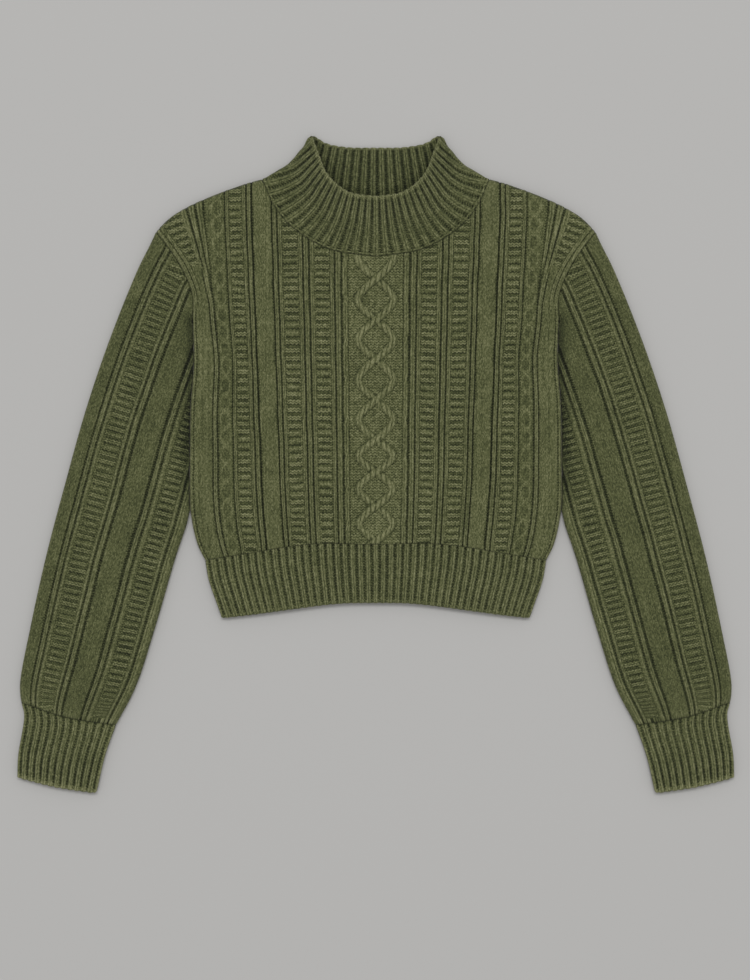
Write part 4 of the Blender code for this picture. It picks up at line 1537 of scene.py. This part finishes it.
class SWEATER_OT_stage(bpy.types.Operator):
    """Set the floor, the soft light and the camera"""
    bl_idname = "sweater.stage"
    bl_label = "Stage"

    def execute(self, context):
        build_stage(context)
        return {"FINISHED"}


class SWEATER_PT_panel(bpy.types.Panel):
    """Lists the pieces and their settings"""
    bl_idname = "SWEATER_PT_panel"
    bl_label = "Cable Knit Sweater"
    bl_space_type = "VIEW_3D"
    bl_region_type = "UI"
    bl_category = "Sweater"

    def draw(self, context):
        for group in SETTINGS:
            settings = getattr(context.scene, group)
            for key in type(settings).__annotations__:
                self.layout.prop(settings, key)
        for operator in OPERATORS:
            self.layout.operator(operator.bl_idname)


def build_stage(context):
    """Matt paper, a large soft light and a camera that looks straight down."""
    settings = context.scene.sweater_stage
    bpy.ops.object.select_all(action="DESELECT")
    bpy.ops.mesh.primitive_plane_add(size=FLOOR_SIZE, location=(0.0, 0.0, FLOOR_Z))
    floor = context.active_object
    floor.name = "floor"
    bpy.ops.object.transform_apply(location=True, rotation=False, scale=False)
    matt = bpy.data.materials.new("matt_paper")
    matt.use_nodes = True
    shader = matt.node_tree.nodes["Principled BSDF"]
    shader.inputs["Base Color"].default_value = (*settings.floor, 1.0)
    shader.inputs["Roughness"].default_value = 1.0
    shader.inputs["Specular IOR Level"].default_value = 0.0
    floor.data.materials.append(matt)

    world = bpy.data.worlds.new("soft_sky")
    world.use_nodes = True
    background = world.node_tree.nodes["Background"]
    background.inputs["Color"].default_value = (1.0, 1.0, 1.0, 1.0)
    background.inputs["Strength"].default_value = settings.sky
    context.scene.world = world

    bpy.ops.object.select_all(action="DESELECT")
    bpy.ops.object.light_add(type="AREA", location=LIGHT_PLACE)
    light = context.active_object
    light.name = "softbox"
    light.data.shape = "RECTANGLE"
    light.data.size = LIGHT_SIZE[0]
    light.data.size_y = LIGHT_SIZE[1]
    light.data.energy = settings.softbox
    light.rotation_euler = (math.atan2(-LIGHT_PLACE[1], LIGHT_PLACE[2]), 0.0, 0.0)

    lens = bpy.data.cameras.new("camera")
    lens.sensor_fit = "HORIZONTAL"
    lens.sensor_width = SENSOR
    lens.lens = SENSOR * (CAMERA_HEIGHT - LAYERS_Z * MM) / VIEW_WIDTH
    lens.clip_end = 30.0
    camera = bpy.data.objects.new("camera", lens)
    camera.location = (*VIEW_CENTRE, CAMERA_HEIGHT)
    context.scene.collection.objects.link(camera)
    context.scene.camera = camera
    context.scene.view_settings.view_transform = "Standard"


# ---- stage, in metres ---------------------------------------------------------------
FLOOR_SIZE = 9.0
FLOOR_Z = -0.0003
LIGHT_PLACE = (0.0, 3.3, 8.5)
LIGHT_SIZE = (5.2, 2.6)
SENSOR = 36.0
CAMERA_HEIGHT = 2.6
VIEW_WIDTH = 0.8043        # of the surface, across the whole frame
VIEW_CENTRE = (-0.0008, -0.0268)

OPERATORS = (
    SWEATER_OT_body,
    SWEATER_OT_hem,
    SWEATER_OT_collar,
    SWEATER_OT_sleeves,
    SWEATER_OT_cuffs,
    SWEATER_OT_stage,
)
SETTINGS = {
    "sweater_knit": SweaterKnit,
    "sweater_colours": SweaterColours,
    "sweater_stage": SweaterStage,
}
CLASSES = tuple(SETTINGS.values()) + OPERATORS + (SWEATER_PT_panel,)


def register():
    for cls in CLASSES:
        bpy.utils.register_class(cls)
    for key, group in SETTINGS.items():
        setattr(bpy.types.Scene, key, bpy.props.PointerProperty(type=group))


def unregister():
    for key in SETTINGS:
        delattr(bpy.types.Scene, key)
    for cls in reversed(CLASSES):
        bpy.utils.unregister_class(cls)


def main():
    register()
    bpy.ops.sweater.body()
    bpy.ops.sweater.hem()
    bpy.ops.sweater.collar()
    bpy.ops.sweater.sleeves()
    bpy.ops.sweater.cuffs()
    bpy.ops.sweater.stage()


if __name__ == "__main__":
    main()
